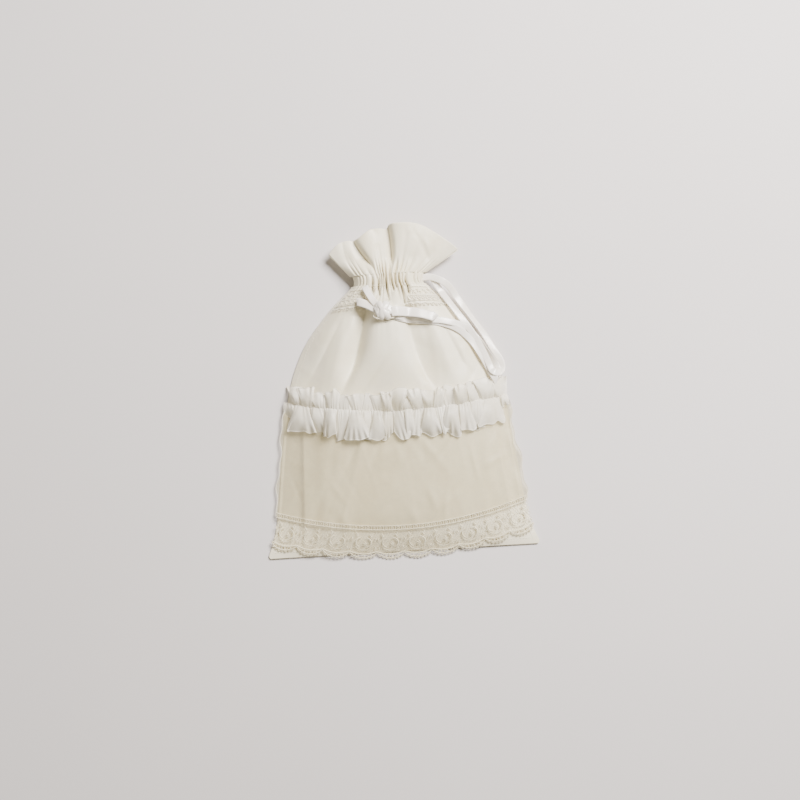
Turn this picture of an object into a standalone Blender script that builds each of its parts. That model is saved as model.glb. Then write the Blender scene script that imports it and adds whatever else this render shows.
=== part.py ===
"""Bridal drawstring bag lying on its back: a lined satin pouch with a gathered neck and frill,
a ruffle across the front, a sheer overskirt with a lace border, and a ribbon drawstring tied in a bow.

X runs across the bag, Y from the hem to the frill and Z up out of the front. The back lies on Z = 0.
A place on the bag is given as (x, v): v is the distance up from the bottom hem.
"""

import math

import bmesh
import bpy

MM = 0.001

# Pouch
HEM_WIDTH = 230 * MM
NECK_WIDTH = 64 * MM
BODY_LENGTH = 224 * MM
SEAM_WIDTH = 3 * MM
SEAM_HEIGHT = 3 * MM
PANEL_THICKNESS = 1 * MM
LINING_THICKNESS = 0.5 * MM
LINING_SIDE_INSET = 13 * MM
LINING_HEM_INSET = 15 * MM
LINING_NECK_INSET = 5 * MM
BELLY_HEIGHT = 28 * MM
NECK_HEIGHT = 18.4 * MM

# Casing round the neck and the ribbon that runs in it
RIBBON_WIDTH = 6 * MM
RIBBON_THICKNESS = 0.6 * MM
CASING_HEIGHT = 9 * MM
CASING_THICKNESS = 5.4 * MM
CASING_END_INSET = 2 * MM
CASING_CLEARANCE = 0.6 * MM
RUN_OVERHANG = 3 * MM
EXIT_X = -20 * MM
EXIT_WIDTH = 7 * MM
EXIT_HEIGHT = 2.4 * MM

# Frill above the casing
FRILL_HEIGHT = 41.4 * MM
FRILL_LEFT = 49 * MM
FRILL_RIGHT = 60 * MM
FRILL_THICKNESS = 0.8 * MM
FRILL_RISE = 1.8 * MM
FRILL_PLEAT = 1.8 * MM
FRILL_PLEATS = 6

# Lace band below the neck
NECK_LACE_HEIGHT = 17 * MM
NECK_LACE_DROP = 2 * MM
NECK_LACE_SIDE_INSET = 4 * MM
LACE_THICKNESS = 0.8 * MM

# Ruffle
RUFFLE_V = 117 * MM
RUFFLE_REACH = 92 * MM
RUFFLE_RISE_LEFT = 13 * MM
RUFFLE_RISE_RIGHT = 9 * MM
RUFFLE_UPPER = 16 * MM
RUFFLE_LOWER = 23 * MM
RUFFLE_BAND = 3 * MM
RUFFLE_THICKNESS = 3.2 * MM
RUFFLE_WAVE = 1.6 * MM
RUFFLE_PUFFS = 13
RUFFLE_SLOPE = 11 * MM

# Overskirt and its lace border
ORGANZA_THICKNESS = 0.5 * MM
OVERSKIRT_OVERHANG = 1.5 * MM
FOLD_CLEARANCE = 1 * MM
HEADING_V = 20 * MM
HEADING_RISE_LEFT = 20 * MM
HEADING_RISE_RIGHT = 23 * MM
HEADING_WIDTH = 4 * MM
LACE_DROP = 6.5 * MM
LACE_RISE_LEFT = 15 * MM
LACE_RISE_RIGHT = 18.5 * MM
LACE_LAP = 5 * MM
SCALLOPS = 10
SCALLOP_DEPTH = 2.2 * MM

# Bow
KNOT_X = -6 * MM
KNOT_V = 200 * MM
KNOT_WIDTH = 9 * MM
KNOT_LENGTH = 8 * MM
KNOT_HEIGHT = 5 * MM
BOW_LOOP_WIDTH = 7.5 * MM
BOW_LOOP_THICKNESS = 2.5 * MM
PULL_LEAD = 3 * MM
PULL_GAP = 1.8 * MM
PULL_DROP = 14 * MM

# Clearances
GAP = 0.3 * MM
LAYER_GAP = 0.6 * MM

# The outline from hem (0) to neck (1): the share left of the difference between the hem's and the neck's width.
WIDTH_SHAPE = (
    (0.0, 1.0), (0.09, 0.91), (0.2, 0.855), (0.28, 0.83), (0.45, 0.77), (0.54, 0.735),
    (0.66, 0.66), (0.74, 0.578), (0.81, 0.476), (0.9, 0.283), (0.94, 0.185), (1.0, 0.0),
)
# The crown of the front from hem to neck, as a share of the belly's height over the seams.
CROWN_SHAPE = ((0.0, 0.0), (0.06, 0.26), (0.14, 0.46), (0.3, 0.6), (0.5, 0.72), (0.7, 0.9), (0.84, 1.0), (0.92, 0.97))

# Places where the ribbons lie on the bag, as (x, v).
TAIL_INNER = ((1, 196), (12, 193), (28, 191), (44, 188), (57, 182), (67, 172), (74, 160), (80, 149), (86, 137.5))
TAIL_OUTER = ((1, 197), (12, 194), (28, 192), (46, 190), (62, 184), (73, 173), (80, 162), (86, 152), (90, 143))
LOOP_LEFT = ((-12, 202), (-18, 206), (-24, 209), (-29, 210))
LOOP_RIGHT = ((1, 199), (12, 199), (25, 197), (38, 193))
STRAND_LEFT = ((-20, 223), (-18, 218), (-15, 212), (-11.5, 206.5))
PULL_INNER = ((41, 221), (49, 208), (59, 193), (69, 177), (76, 163), (80, 153))
PULL_TIP = ((83, 146.5), (88, 145), (91, 149))
PULL_OUTER = ((90, 156), (84, 167), (77, 180), (68, 194), (58, 209), (49, 222))

# Worked out
CASING_V = BODY_LENGTH + GAP
CASING_TOP = CASING_V + CASING_HEIGHT
FRILL_V = CASING_TOP + GAP
FRILL_TOP = FRILL_V + FRILL_HEIGHT
MIDDLE_V = (FRILL_TOP - LACE_DROP - SCALLOP_DEPTH / 2) / 2
MIDDLE_Z = NECK_HEIGHT / 2
PANEL_INSET = SEAM_WIDTH + GAP
BACK_LINING_TOP = PANEL_THICKNESS + GAP + LINING_THICKNESS
OVERSKIRT_TOP = LAYER_GAP + ORGANZA_THICKNESS
FOLD_V = RUFFLE_V - RUFFLE_LOWER - RUFFLE_WAVE - FOLD_CLEARANCE
BORDER_TOP = OVERSKIRT_TOP + LAYER_GAP + LACE_THICKNESS
RIBBON_LAYER = RIBBON_THICKNESS + LAYER_GAP
TAILS_BASE = LAYER_GAP + LACE_THICKNESS


def smooth_value(points, t):
    """Value at t of a smooth curve through (t, value) points that never overshoots them."""
    t = min(max(t, points[0][0]), points[-1][0])
    spans = list(zip(points, points[1:]))
    slopes = [(b[1] - a[1]) / (b[0] - a[0]) for a, b in spans]
    inner = [0.0 if p * q <= 0 else 2 * p * q / (p + q) for p, q in zip(slopes, slopes[1:])]
    tangents = [slopes[0], *inner, slopes[-1]]
    index = next(i for i, (_, b) in enumerate(spans) if t <= b[0])
    (start, low), (end, high) = spans[index]
    length = end - start
    s = (t - start) / length
    rise = low * (1 + 2 * s) * (1 - s) ** 2 + high * s * s * (3 - 2 * s)
    bend = tangents[index] * s * (1 - s) ** 2 + tangents[index + 1] * s * s * (s - 1)
    return rise + length * bend


def half_width(v):
    """Half the bag's width at v, out to the side seams' outer edge."""
    share = smooth_value(WIDTH_SHAPE, v / BODY_LENGTH)
    return (NECK_WIDTH + (HEM_WIDTH - NECK_WIDTH) * share) / 2


def crown_height(v):
    """Height of the front's outer face on the bag's middle line."""
    neck_share = (NECK_HEIGHT - SEAM_HEIGHT) / (BELLY_HEIGHT - SEAM_HEIGHT)
    share = smooth_value((*CROWN_SHAPE, (1.0, neck_share)), v / BODY_LENGTH)
    return SEAM_HEIGHT + (BELLY_HEIGHT - SEAM_HEIGHT) * share


def front_height(x, v):
    """Height of the front's outer face at (x, v); past the side seams it stays at their height."""
    across = min(abs(x) / (half_width(v) - PANEL_INSET), 1.0)
    squareness = 2.4 + 2 * max(0.0, v / BODY_LENGTH) ** 3
    return SEAM_HEIGHT + (crown_height(v) - SEAM_HEIGHT) * (1 - across**squareness)


def ruffle_lift(x, v):
    """How far something that lies over the upper ruffle is lifted at (x, v)."""
    past = ruffle_line(x) + RUFFLE_UPPER + RUFFLE_SLOPE - v
    share = min(max(past / (RUFFLE_SLOPE - RUFFLE_WAVE - GAP), 0.0), 1.0)
    return (RUFFLE_THICKNESS + LAYER_GAP) * share * share * (3 - 2 * share)


def side_value(x, left, right, reach):
    """A rise that grows with the square of the distance from the middle line, to left or right at reach."""
    return (left if x < 0 else right) * (x / reach) ** 2


def ruffle_line(x):
    return RUFFLE_V + side_value(x, RUFFLE_RISE_LEFT, RUFFLE_RISE_RIGHT, RUFFLE_REACH)


def heading_line(x):
    return HEADING_V + side_value(x, HEADING_RISE_LEFT, HEADING_RISE_RIGHT, HEM_WIDTH / 2)


def lace_edge(x):
    """Lower edge of the lace border, with its scallops."""
    across = (x / HEM_WIDTH + 0.5) * SCALLOPS
    scallop = SCALLOP_DEPTH * (0.5 - abs(math.sin(math.pi * across)))
    return -LACE_DROP + side_value(x, LACE_RISE_LEFT, LACE_RISE_RIGHT, HEM_WIDTH / 2) + scallop


def spread(low, high, count):
    """count + 1 values evenly spaced from low to high."""
    return [low + (high - low) * i / count for i in range(count + 1)]


def side_shares(count):
    """Shares of the way across, from -1 to 1, closer together towards the sides."""
    return [math.sin(math.pi / 2 * share) for share in spread(-1, 1, count)]


def material(name, colour, roughness):
    made = bpy.data.materials.new(name)
    made.use_nodes = True
    shader = made.node_tree.nodes["Principled BSDF"]
    shader.inputs["Base Color"].default_value = (*colour, 1)
    shader.inputs["Roughness"].default_value = roughness
    shader.inputs["Metallic"].default_value = 0
    made.diffuse_color = (*colour, 1)
    return made


def add_object(name, mesh, finish):
    made = bpy.data.objects.new(name, mesh)
    bpy.context.scene.collection.objects.link(made)
    made.data.materials.append(finish)
    return made


def sheet(name, top, thickness, finish):
    """A closed sheet from rows of (x, v, z) points on its upper face; thickness is measured down."""
    work = bmesh.new()
    rows, columns = len(top), len(top[0])
    upper = [[work.verts.new((x, v - MIDDLE_V, z)) for x, v, z in row] for row in top]
    lower = [[work.verts.new((x, v - MIDDLE_V, z - thickness)) for x, v, z in row] for row in top]
    for r in range(rows - 1):
        for c in range(columns - 1):
            work.faces.new((upper[r][c], upper[r][c + 1], upper[r + 1][c + 1], upper[r + 1][c]))
            work.faces.new((lower[r][c], lower[r + 1][c], lower[r + 1][c + 1], lower[r][c + 1]))
    rim = [(0, c) for c in range(columns)]
    rim += [(r, columns - 1) for r in range(1, rows)]
    rim += [(rows - 1, c) for c in range(columns - 2, -1, -1)]
    rim += [(r, 0) for r in range(rows - 2, 0, -1)]
    for (r, c), (s, d) in zip(rim, rim[1:] + rim[:1]):
        work.faces.new((upper[r][c], lower[r][c], lower[s][d], upper[s][d]))
    bmesh.ops.recalc_face_normals(work, faces=work.faces)
    mesh = bpy.data.meshes.new(name)
    work.to_mesh(mesh)
    work.free()
    mesh.shade_smooth()
    mesh.set_sharp_from_angle(angle=math.radians(40))
    return add_object(name, mesh, finish)


def box(name, low, high, finish):
    """A box between two corners given as (x, v, z)."""
    work = bmesh.new()
    bmesh.ops.create_cube(work, size=1)
    for vert in work.verts:
        corner = [high[i] if vert.co[i] > 0 else low[i] for i in range(3)]
        vert.co = (corner[0], corner[1] - MIDDLE_V, corner[2])
    mesh = bpy.data.meshes.new(name)
    work.to_mesh(mesh)
    work.free()
    return add_object(name, mesh, finish)


def cut(target, low, high):
    cutter = box(f"{target.name}_cutter_{len(target.modifiers)}", low, high, target.data.materials[0])
    cutter.hide_render = True
    cutter.display_type = "WIRE"
    opening = target.modifiers.new("opening", "BOOLEAN")
    opening.operation = "DIFFERENCE"
    opening.object = cutter


def smooth_route(points, step):
    """Points about step apart on a smooth curve through the points, all in metres."""
    made = []
    padded = [points[0], *points, points[-1]]
    for before, start, end, after in zip(padded, padded[1:], padded[2:], padded[3:]):
        count = max(1, round(math.dist(start, end) / step))
        for i in range(count):
            s = i / count
            made.append(tuple(
                0.5 * (2 * q + (r - p) * s + (2 * p - 5 * q + 4 * r - t) * s**2 + (3 * q - p - 3 * r + t) * s**3)
                for p, q, r, t in zip(before, start, end, after)
            ))
    return [*made, points[-1]]


def ribbon_sides(route, width):
    """Pairs of (x, v, z) points on the two edges of a ribbon along the route."""
    pairs = []
    for i, (x, v, z) in enumerate(route):
        ahead, behind = route[min(i + 1, len(route) - 1)], route[max(i - 1, 0)]
        across = (ahead[1] - behind[1], behind[0] - ahead[0])
        reach = width / 2 / math.hypot(*across)
        pairs.append([(x + side * reach * across[0], v + side * reach * across[1], z) for side in (-1, 1)])
    return pairs


def ribbon_on_front(name, places, width, thickness, base, finish, step=4 * MM):
    """A ribbon that lies on the front along the places (x, v in mm), its under side base above it."""
    route = smooth_route([(x * MM, v * MM, 0.0) for x, v in places], step)
    sides = ribbon_sides(route, width)
    lift = base + thickness
    top = [[(x, v, front_height(x, v) + ruffle_lift(x, v) + lift) for x, v, _ in pair] for pair in sides]
    return sheet(name, top, thickness, finish)


def panels(satin):
    low, high = PANEL_INSET, BODY_LENGTH
    front = []
    for v in spread(low, high, 26):
        reach = half_width(v) - PANEL_INSET
        front.append([(share * reach, v, front_height(share * reach, v)) for share in side_shares(20)])
    sheet("front_panel", front, PANEL_THICKNESS, satin)
    back = []
    for v in spread(low, high, 30):
        reach = half_width(v) - PANEL_INSET
        back.append([(side * reach, v, PANEL_THICKNESS) for side in (-1, 1)])
    sheet("back_panel", back, PANEL_THICKNESS, satin)


def linings(cloth):
    low, high = LINING_HEM_INSET, BODY_LENGTH - LINING_NECK_INSET
    front, back = [], []
    for v in spread(low, high, 18):
        reach = half_width(v) - LINING_SIDE_INSET
        drop = PANEL_THICKNESS + LAYER_GAP
        front.append([(x, v, front_height(x, v) - drop) for x in spread(-reach, reach, 14)])
        back.append([(side * reach, v, BACK_LINING_TOP) for side in (-1, 1)])
    sheet("front_lining", front, LINING_THICKNESS, cloth)
    sheet("back_lining", back, LINING_THICKNESS, cloth)


def seams(satin):
    for name, side in (("side_seam_left", -1), ("side_seam_right", 1)):
        top = []
        for v in spread(0, BODY_LENGTH, 30):
            outer = half_width(v)
            top.append([(side * x, v, SEAM_HEIGHT) for x in (outer - SEAM_WIDTH, outer)])
        sheet(name, top, SEAM_HEIGHT, satin)
    reach = half_width(SEAM_WIDTH) - PANEL_INSET
    box("hem_seam", (-reach, 0, 0), (reach, SEAM_WIDTH, SEAM_HEIGHT), satin)


def casings(satin):
    """Two straight channels across the neck; the front one has a slit where the ribbon comes out."""
    reach = NECK_WIDTH / 2 - CASING_END_INSET
    slot_width = RIBBON_WIDTH + 2 * CASING_CLEARANCE
    slot_height = RIBBON_THICKNESS + 2 * CASING_CLEARANCE
    centre_v = CASING_V + CASING_HEIGHT / 2
    for name, top in (("front_casing", NECK_HEIGHT), ("back_casing", CASING_THICKNESS)):
        casing = box(name, (-reach, CASING_V, top - CASING_THICKNESS), (reach, CASING_TOP, top), satin)
        centre_z = top - CASING_THICKNESS / 2
        low = (-NECK_WIDTH, centre_v - slot_width / 2, centre_z - slot_height / 2)
        high = (NECK_WIDTH, centre_v + slot_width / 2, centre_z + slot_height / 2)
        cut(casing, low, high)
        if name == "front_casing":
            low = (EXIT_X - EXIT_WIDTH / 2, centre_v - EXIT_HEIGHT / 2, centre_z)
            high = (EXIT_X + EXIT_WIDTH / 2, centre_v + EXIT_HEIGHT / 2, top + GAP)
            cut(casing, low, high)


def frill_rim(across):
    """Height of the frill's lobed top edge over its foot, across running from -1 to 1."""
    lobes = (
        (-1.0, 0.46), (-0.86, 0.68), (-0.72, 0.72), (-0.5, 0.8), (-0.2, 0.93), (0.08, 0.95),
        (0.14, 0.99), (0.3, 1.0), (0.6, 0.93), (0.85, 0.72), (1.0, 0.46),
    )
    return FRILL_HEIGHT * smooth_value(lobes, across)


def frill(name, facing, satin):
    """Half of the frill: facing is 1 for the front half and -1 for the half that lies on the back."""
    reach = NECK_WIDTH / 2
    depth = MIDDLE_Z - GAP
    top = []
    for s in spread(0, 1, 5):
        row = []
        for across in spread(-1, 1, 36):
            wide = FRILL_LEFT if across < 0 else FRILL_RIGHT
            x = across * (reach + (wide - reach) * math.sin(s * math.pi / 2))
            v = FRILL_V + s * frill_rim(across)
            arch = 1 - abs(across) ** 3
            pleat = FRILL_PLEAT * s * arch * (1 + math.cos(2 * math.pi * FRILL_PLEATS * across)) / 2
            if facing > 0:
                z = MIDDLE_Z + GAP + FRILL_THICKNESS + (depth - FRILL_THICKNESS + FRILL_RISE * s) * arch - pleat
            else:
                z = MIDDLE_Z - GAP - (depth - FRILL_THICKNESS) * arch + pleat
            row.append((x, v, z))
        top.append(row)
    sheet(name, top, FRILL_THICKNESS, satin)


def neck_lace(lace):
    top = []
    base = LAYER_GAP + LACE_THICKNESS
    high = BODY_LENGTH - NECK_LACE_DROP
    for v in spread(high - NECK_LACE_HEIGHT, high, 6):
        reach = half_width(v) - NECK_LACE_SIDE_INSET
        top.append([(x, v, front_height(x, v) + base) for x in spread(-reach, reach, 16)])
    sheet("neck_lace", top, LACE_THICKNESS, lace)


def ruffle_rows(first, last, base, rows):
    """Rows of a ruffle's upper face from first to last beside its line, waved along its free edge."""
    made = []
    for s in spread(0, 1, rows):
        row = []
        for x in spread(-RUFFLE_REACH, RUFFLE_REACH, 4 * RUFFLE_PUFFS):
            puff = math.cos(2 * math.pi * RUFFLE_PUFFS * x / (2 * RUFFLE_REACH))
            v = ruffle_line(x) + first + (last - first) * s + RUFFLE_WAVE * puff * s * math.copysign(1, last - first)
            row.append((x, v, front_height(x, v) + base + RUFFLE_THICKNESS))
        made.append(row)
    return made


def ruffle(organza, thread):
    half_band = RUFFLE_BAND / 2
    upper = ruffle_rows(half_band + GAP, RUFFLE_UPPER, LAYER_GAP, 3)
    sheet("ruffle_upper", upper, RUFFLE_THICKNESS, organza)
    lower = ruffle_rows(-half_band - GAP, -RUFFLE_LOWER, OVERSKIRT_TOP + LAYER_GAP, 3)
    sheet("ruffle_lower", lower, RUFFLE_THICKNESS, organza)
    band = ruffle_rows(half_band, -half_band, LAYER_GAP - RUFFLE_THICKNESS / 2, 1)
    band = [[(x, ruffle_line(x) + side * half_band, z) for x, _, z in row] for side, row in zip((1, -1), band)]
    sheet("ruffle_band", band, RUFFLE_THICKNESS / 2, thread)


def overskirt_rows(high, low, rows):
    """Rows of the overskirt's upper face between two lines, each a function of x."""
    top = []
    for s in spread(0, 1, rows):
        row = []
        for across in side_shares(28):
            x, v = across * HEM_WIDTH / 2, 0.0
            for _ in range(4):
                v = high(x) + (low(x) - high(x)) * s
                x = across * (half_width(v) + OVERSKIRT_OVERHANG)
            row.append((x, v, front_height(x, v) + OVERSKIRT_TOP))
        top.append(row)
    return top


def overskirt(organza):
    """The sheer overskirt, parted at the line that it folds up along: the yoke under the ruffle stays put."""
    yoke = overskirt_rows(lambda x: ruffle_line(x) - RUFFLE_BAND / 2 - GAP, lambda x: FOLD_V, 4)
    sheet("overskirt_yoke", yoke, ORGANZA_THICKNESS, organza)
    flap = overskirt_rows(lambda x: FOLD_V - GAP, lambda x: heading_line(x) - HEADING_WIDTH, 8)
    sheet("overskirt", flap, ORGANZA_THICKNESS, organza)


def lace_border(lace):
    reach = half_width(HEADING_V)
    columns = 6 * SCALLOPS
    top = []
    for s in spread(0, 1, 5):
        row = []
        for across in spread(-1, 1, columns):
            high = heading_line(across * reach) + HEADING_WIDTH / 2
            v = high + (lace_edge(across * reach) - high) * s
            x = across * (half_width(max(v, 0)) + OVERSKIRT_OVERHANG - GAP)
            row.append((x, v, front_height(x, max(v, 0)) + BORDER_TOP))
        top.append(row)
    sheet("lace_border", top, LACE_THICKNESS, lace)
    heading = []
    for side in (1, -1):
        row = []
        for x in spread(-reach, reach, 30):
            v = heading_line(x) + side * HEADING_WIDTH / 2
            row.append((x, v, front_height(x, v) + BORDER_TOP + LAYER_GAP + LACE_THICKNESS))
        heading.append(row)
    sheet("lace_heading", heading, LACE_THICKNESS, lace)


def bow(ribbon):
    top = front_height(KNOT_X, KNOT_V) + TAILS_BASE + KNOT_HEIGHT
    low = (KNOT_X - KNOT_WIDTH / 2, KNOT_V - KNOT_LENGTH / 2, top - KNOT_HEIGHT)
    knot = box("bow_knot", low, (KNOT_X + KNOT_WIDTH / 2, KNOT_V + KNOT_LENGTH / 2, top), ribbon)
    rounding = knot.modifiers.new("rounding", "BEVEL")
    rounding.width = KNOT_HEIGHT / 4
    rounding.segments = 2
    ribbon_on_front("bow_tail_inner", TAIL_INNER, RIBBON_WIDTH, RIBBON_THICKNESS, LAYER_GAP, ribbon)
    ribbon_on_front("bow_tail_outer", TAIL_OUTER, RIBBON_WIDTH, RIBBON_THICKNESS, LAYER_GAP + RIBBON_LAYER, ribbon)
    base = LAYER_GAP + 2 * RIBBON_LAYER
    ribbon_on_front("bow_loop_right", LOOP_RIGHT, BOW_LOOP_WIDTH, BOW_LOOP_THICKNESS, base, ribbon)
    base = 3 * LAYER_GAP + LACE_THICKNESS
    ribbon_on_front("bow_loop_left", LOOP_LEFT, BOW_LOOP_WIDTH, BOW_LOOP_THICKNESS, base, ribbon)
    base += BOW_LOOP_THICKNESS + LAYER_GAP
    ribbon_on_front("drawstring_left", STRAND_LEFT, RIBBON_WIDTH, RIBBON_THICKNESS, base, ribbon)


def pull_ribbon(ribbon):
    """The ribbon that slides: a straight run in each casing, and the pull loop at the right."""
    centre_v = CASING_V + CASING_HEIGHT / 2
    reach = NECK_WIDTH / 2 - CASING_END_INSET + RUN_OVERHANG
    ends = []
    for name, top in (("pull_run_front", NECK_HEIGHT), ("pull_run_back", CASING_THICKNESS)):
        centre_z = top - CASING_THICKNESS / 2
        low = (-reach, centre_v - RIBBON_WIDTH / 2, centre_z - RIBBON_THICKNESS / 2)
        high = (reach, centre_v + RIBBON_WIDTH / 2, centre_z + RIBBON_THICKNESS / 2)
        box(name, low, high, ribbon)
        ends.append((reach + GAP, centre_v, centre_z + RIBBON_THICKNESS / 2))
    places = [(x * MM, v * MM, 0.0) for x, v in (*PULL_INNER, *PULL_TIP, *PULL_OUTER)]
    leads = [(end[0] + PULL_LEAD, *end[1:]) for end in ends]
    flat = [(*point[:2], 0.0) for point in (ends[1], leads[1], *places, leads[0], ends[0])]
    route = smooth_route(flat, 4 * MM)
    sides = ribbon_sides(route, RIBBON_WIDTH)
    lift = PULL_GAP + 2 * RIBBON_LAYER + RIBBON_THICKNESS
    top = []
    for i, pair in enumerate(sides):
        end = ends[1] if 2 * i < len(sides) else ends[0]
        share = min(max(math.dist(route[i][:2], end[:2]) / PULL_DROP - PULL_LEAD / PULL_DROP, 0.0), 1.0)
        share = share * share * (3 - 2 * share)
        laid = [front_height(x, v) + ruffle_lift(x, v) + lift for x, v, _ in pair]
        top.append([(x, v, end[2] + (z - end[2]) * share) for (x, v, _), z in zip(pair, laid)])
    sheet("pull_loop", top, RIBBON_THICKNESS, ribbon)


def main():
    for old in list(bpy.data.objects):
        bpy.data.objects.remove(old, do_unlink=True)
    satin = material("ivory_satin", (0.78, 0.75, 0.66), 0.45)
    cloth = material("ivory_lining", (0.80, 0.78, 0.71), 0.7)
    organza = material("organza", (0.80, 0.78, 0.70), 0.5)
    lace = material("guipure_lace", (0.82, 0.79, 0.69), 0.8)
    thread = material("gathering_thread", (0.76, 0.73, 0.63), 0.7)
    ribbon = material("satin_ribbon", (0.88, 0.86, 0.82), 0.3)
    panels(satin)
    linings(cloth)
    seams(satin)
    casings(satin)
    frill("front_frill", 1, satin)
    frill("back_frill", -1, satin)
    neck_lace(lace)
    ruffle(organza, thread)
    overskirt(organza)
    lace_border(lace)
    bow(ribbon)
    pull_ribbon(ribbon)


main()
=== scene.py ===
import math

import bpy
import numpy as np
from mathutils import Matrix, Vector


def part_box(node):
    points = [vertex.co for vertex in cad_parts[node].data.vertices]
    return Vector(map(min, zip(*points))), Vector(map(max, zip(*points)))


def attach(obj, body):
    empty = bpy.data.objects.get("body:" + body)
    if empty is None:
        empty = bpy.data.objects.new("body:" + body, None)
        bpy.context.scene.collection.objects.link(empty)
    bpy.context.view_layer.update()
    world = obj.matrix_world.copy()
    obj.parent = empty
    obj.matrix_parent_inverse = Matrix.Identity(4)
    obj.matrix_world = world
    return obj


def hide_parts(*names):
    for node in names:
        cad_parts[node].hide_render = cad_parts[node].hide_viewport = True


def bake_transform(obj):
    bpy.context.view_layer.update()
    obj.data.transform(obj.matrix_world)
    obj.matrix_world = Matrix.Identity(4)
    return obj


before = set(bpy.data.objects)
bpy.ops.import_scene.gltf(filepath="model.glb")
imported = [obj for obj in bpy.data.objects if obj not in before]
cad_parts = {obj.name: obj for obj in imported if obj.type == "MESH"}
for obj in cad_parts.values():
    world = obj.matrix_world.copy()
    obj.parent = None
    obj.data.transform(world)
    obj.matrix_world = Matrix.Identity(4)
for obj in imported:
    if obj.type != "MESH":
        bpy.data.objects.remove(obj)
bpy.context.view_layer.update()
mm = 0.001


def nodeBox(node):
    low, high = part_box(node)
    return np.array(low) / mm, np.array(high) / mm


# a place on the bag is (x, v) in mm, with v measured up from the hem
hemLow, hemHigh = nodeBox("hem_seam")
sideLow, sideHigh = nodeBox("side_seam_right")
frillLow, frillHigh = nodeBox("front_frill")
casingHigh = nodeBox("front_casing")[1]
hemY = hemLow[1]
seamWidth, seamHeight = hemHigh[1] - hemY, hemHigh[2]
hemHalf = sideHigh[0]
neckHalf = sideLow[0] + seamWidth
bodyLength = sideHigh[1] - hemY
bellyHeight = nodeBox("front_panel")[1][2]
neckHeight, casingTop = casingHigh[2], casingHigh[1] - hemY
frillFoot = frillLow[1] - hemY
frillHeight = frillHigh[1] - hemY - frillFoot
frillLeft, frillRight = -frillLow[0], frillHigh[0]
foldV = nodeBox("overskirt")[1][1] - hemY
middleZ = neckHeight / 2

widthShape = (
    (0.0, 1.0), (0.09, 0.91), (0.2, 0.855), (0.28, 0.83), (0.45, 0.77), (0.54, 0.735),
    (0.66, 0.66), (0.74, 0.578), (0.81, 0.476), (0.9, 0.283), (0.94, 0.185), (1.0, 0.0),
)
neckShare = (neckHeight - seamHeight) / (bellyHeight - seamHeight)
crownShape = (
    (0.0, 0.0), (0.06, 0.26), (0.14, 0.46), (0.3, 0.6), (0.5, 0.72),
    (0.7, 0.9), (0.84, 1.0), (0.92, 0.97), (1.0, neckShare),
)


def smoothCurve(points, t):  # smooth through the points, never overshooting them
    xs, ys = np.array(points, float).T
    slope = np.diff(ys) / np.diff(xs)
    a, b = slope[:-1], slope[1:]
    inner = np.where(a * b > 0, 2 * a * b / np.where(a * b > 0, a + b, 1), 0)
    tangent = np.concatenate([slope[:1], inner, slope[-1:]])
    t = np.clip(t, xs[0], xs[-1])
    i = np.clip(np.searchsorted(xs, t) - 1, 0, len(xs) - 2)
    h = xs[i + 1] - xs[i]
    s = (t - xs[i]) / h
    line = ys[i] * (1 + 2 * s) * (1 - s) ** 2 + ys[i + 1] * s * s * (3 - 2 * s)
    return line + h * (tangent[i] * s * (1 - s) ** 2 + tangent[i + 1] * s * s * (s - 1))


def ease(low, high, value):  # 0 before low, 1 after high, smooth between
    s = np.clip((np.asarray(value, float) - low) / (high - low), 0, 1)
    return s * s * (3 - 2 * s)


def bump(value, centre, width):
    return np.exp(-(((value - centre) / width) ** 2))


def halfWidth(v):
    return neckHalf + (hemHalf - neckHalf) * smoothCurve(widthShape, np.asarray(v, float) / bodyLength)


foldSizes = {
    "valleyDepth": 11.5, "pleatHeight": 3.2, "secondDepth": 8.0, "flareHeight": 1.1,
    "gatherDepth": 4.2, "gatherReach": 14.0, "gathers": 9.5, "slitDepth": 5.0, "slitWidth": 0.85,
    "wrinkleHeight": 0.75, "wrinkleCount": 170,
}
pleatLeft = ((120, -46), (134, -40), (158, -28.4), (196, -18), (212, -14))
pleatRight = ((120, 38), (134, 31.6), (145, 24), (172, 15.4), (190, 12.5), (212, 9))
slits = (  # x, then v from and to
    (-13.0, 217, 226), (-7.9, 214, 226), (-1.0, 209, 228),
    (11.5, 206, 228), (16.5, 215, 226), (4.5, 218, 227),
)


def makeWrinkles(seed, count, reach, span, length, width, height, lean):  # random long low ridges
    rng = np.random.default_rng(seed)
    centreX = rng.uniform(-reach, reach, count)
    centreV = rng.uniform(span[0], span[1], count)
    angle = rng.normal(lean, 0.5, count)
    lengths = rng.uniform(0.5, 1.5, count) * length
    widths = rng.uniform(0.6, 1.5, count) * width
    heights = rng.uniform(-1, 1, count) * height

    def field(x, v):
        total = np.zeros(np.broadcast(x, v).shape)
        for cx, cv, turn, far, near, high in zip(centreX, centreV, angle, lengths, widths, heights):
            along = (x - cx) * math.sin(turn) + (v - cv) * math.cos(turn)
            off = (x - cx) * math.cos(turn) - (v - cv) * math.sin(turn)
            total += high * np.exp(-((along / far) ** 2) - (off / near) ** 2)
        return total

    return field


satinWrinkles = makeWrinkles(
    11, foldSizes["wrinkleCount"], 105, (5, 215), 16, 3.2, foldSizes["wrinkleHeight"], 0.2
)
organzaWrinkles = makeWrinkles(23, 90, 108, (-5, 125), 20, 2.6, 0.5, 0.0)


def gatherPhase(across):
    count = foldSizes["gathers"]
    return math.pi * (count * across + 0.55 * np.sin(5.1 * across + 0.7) + 0.4 * np.sin(11.3 * across + 2.1))


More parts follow.
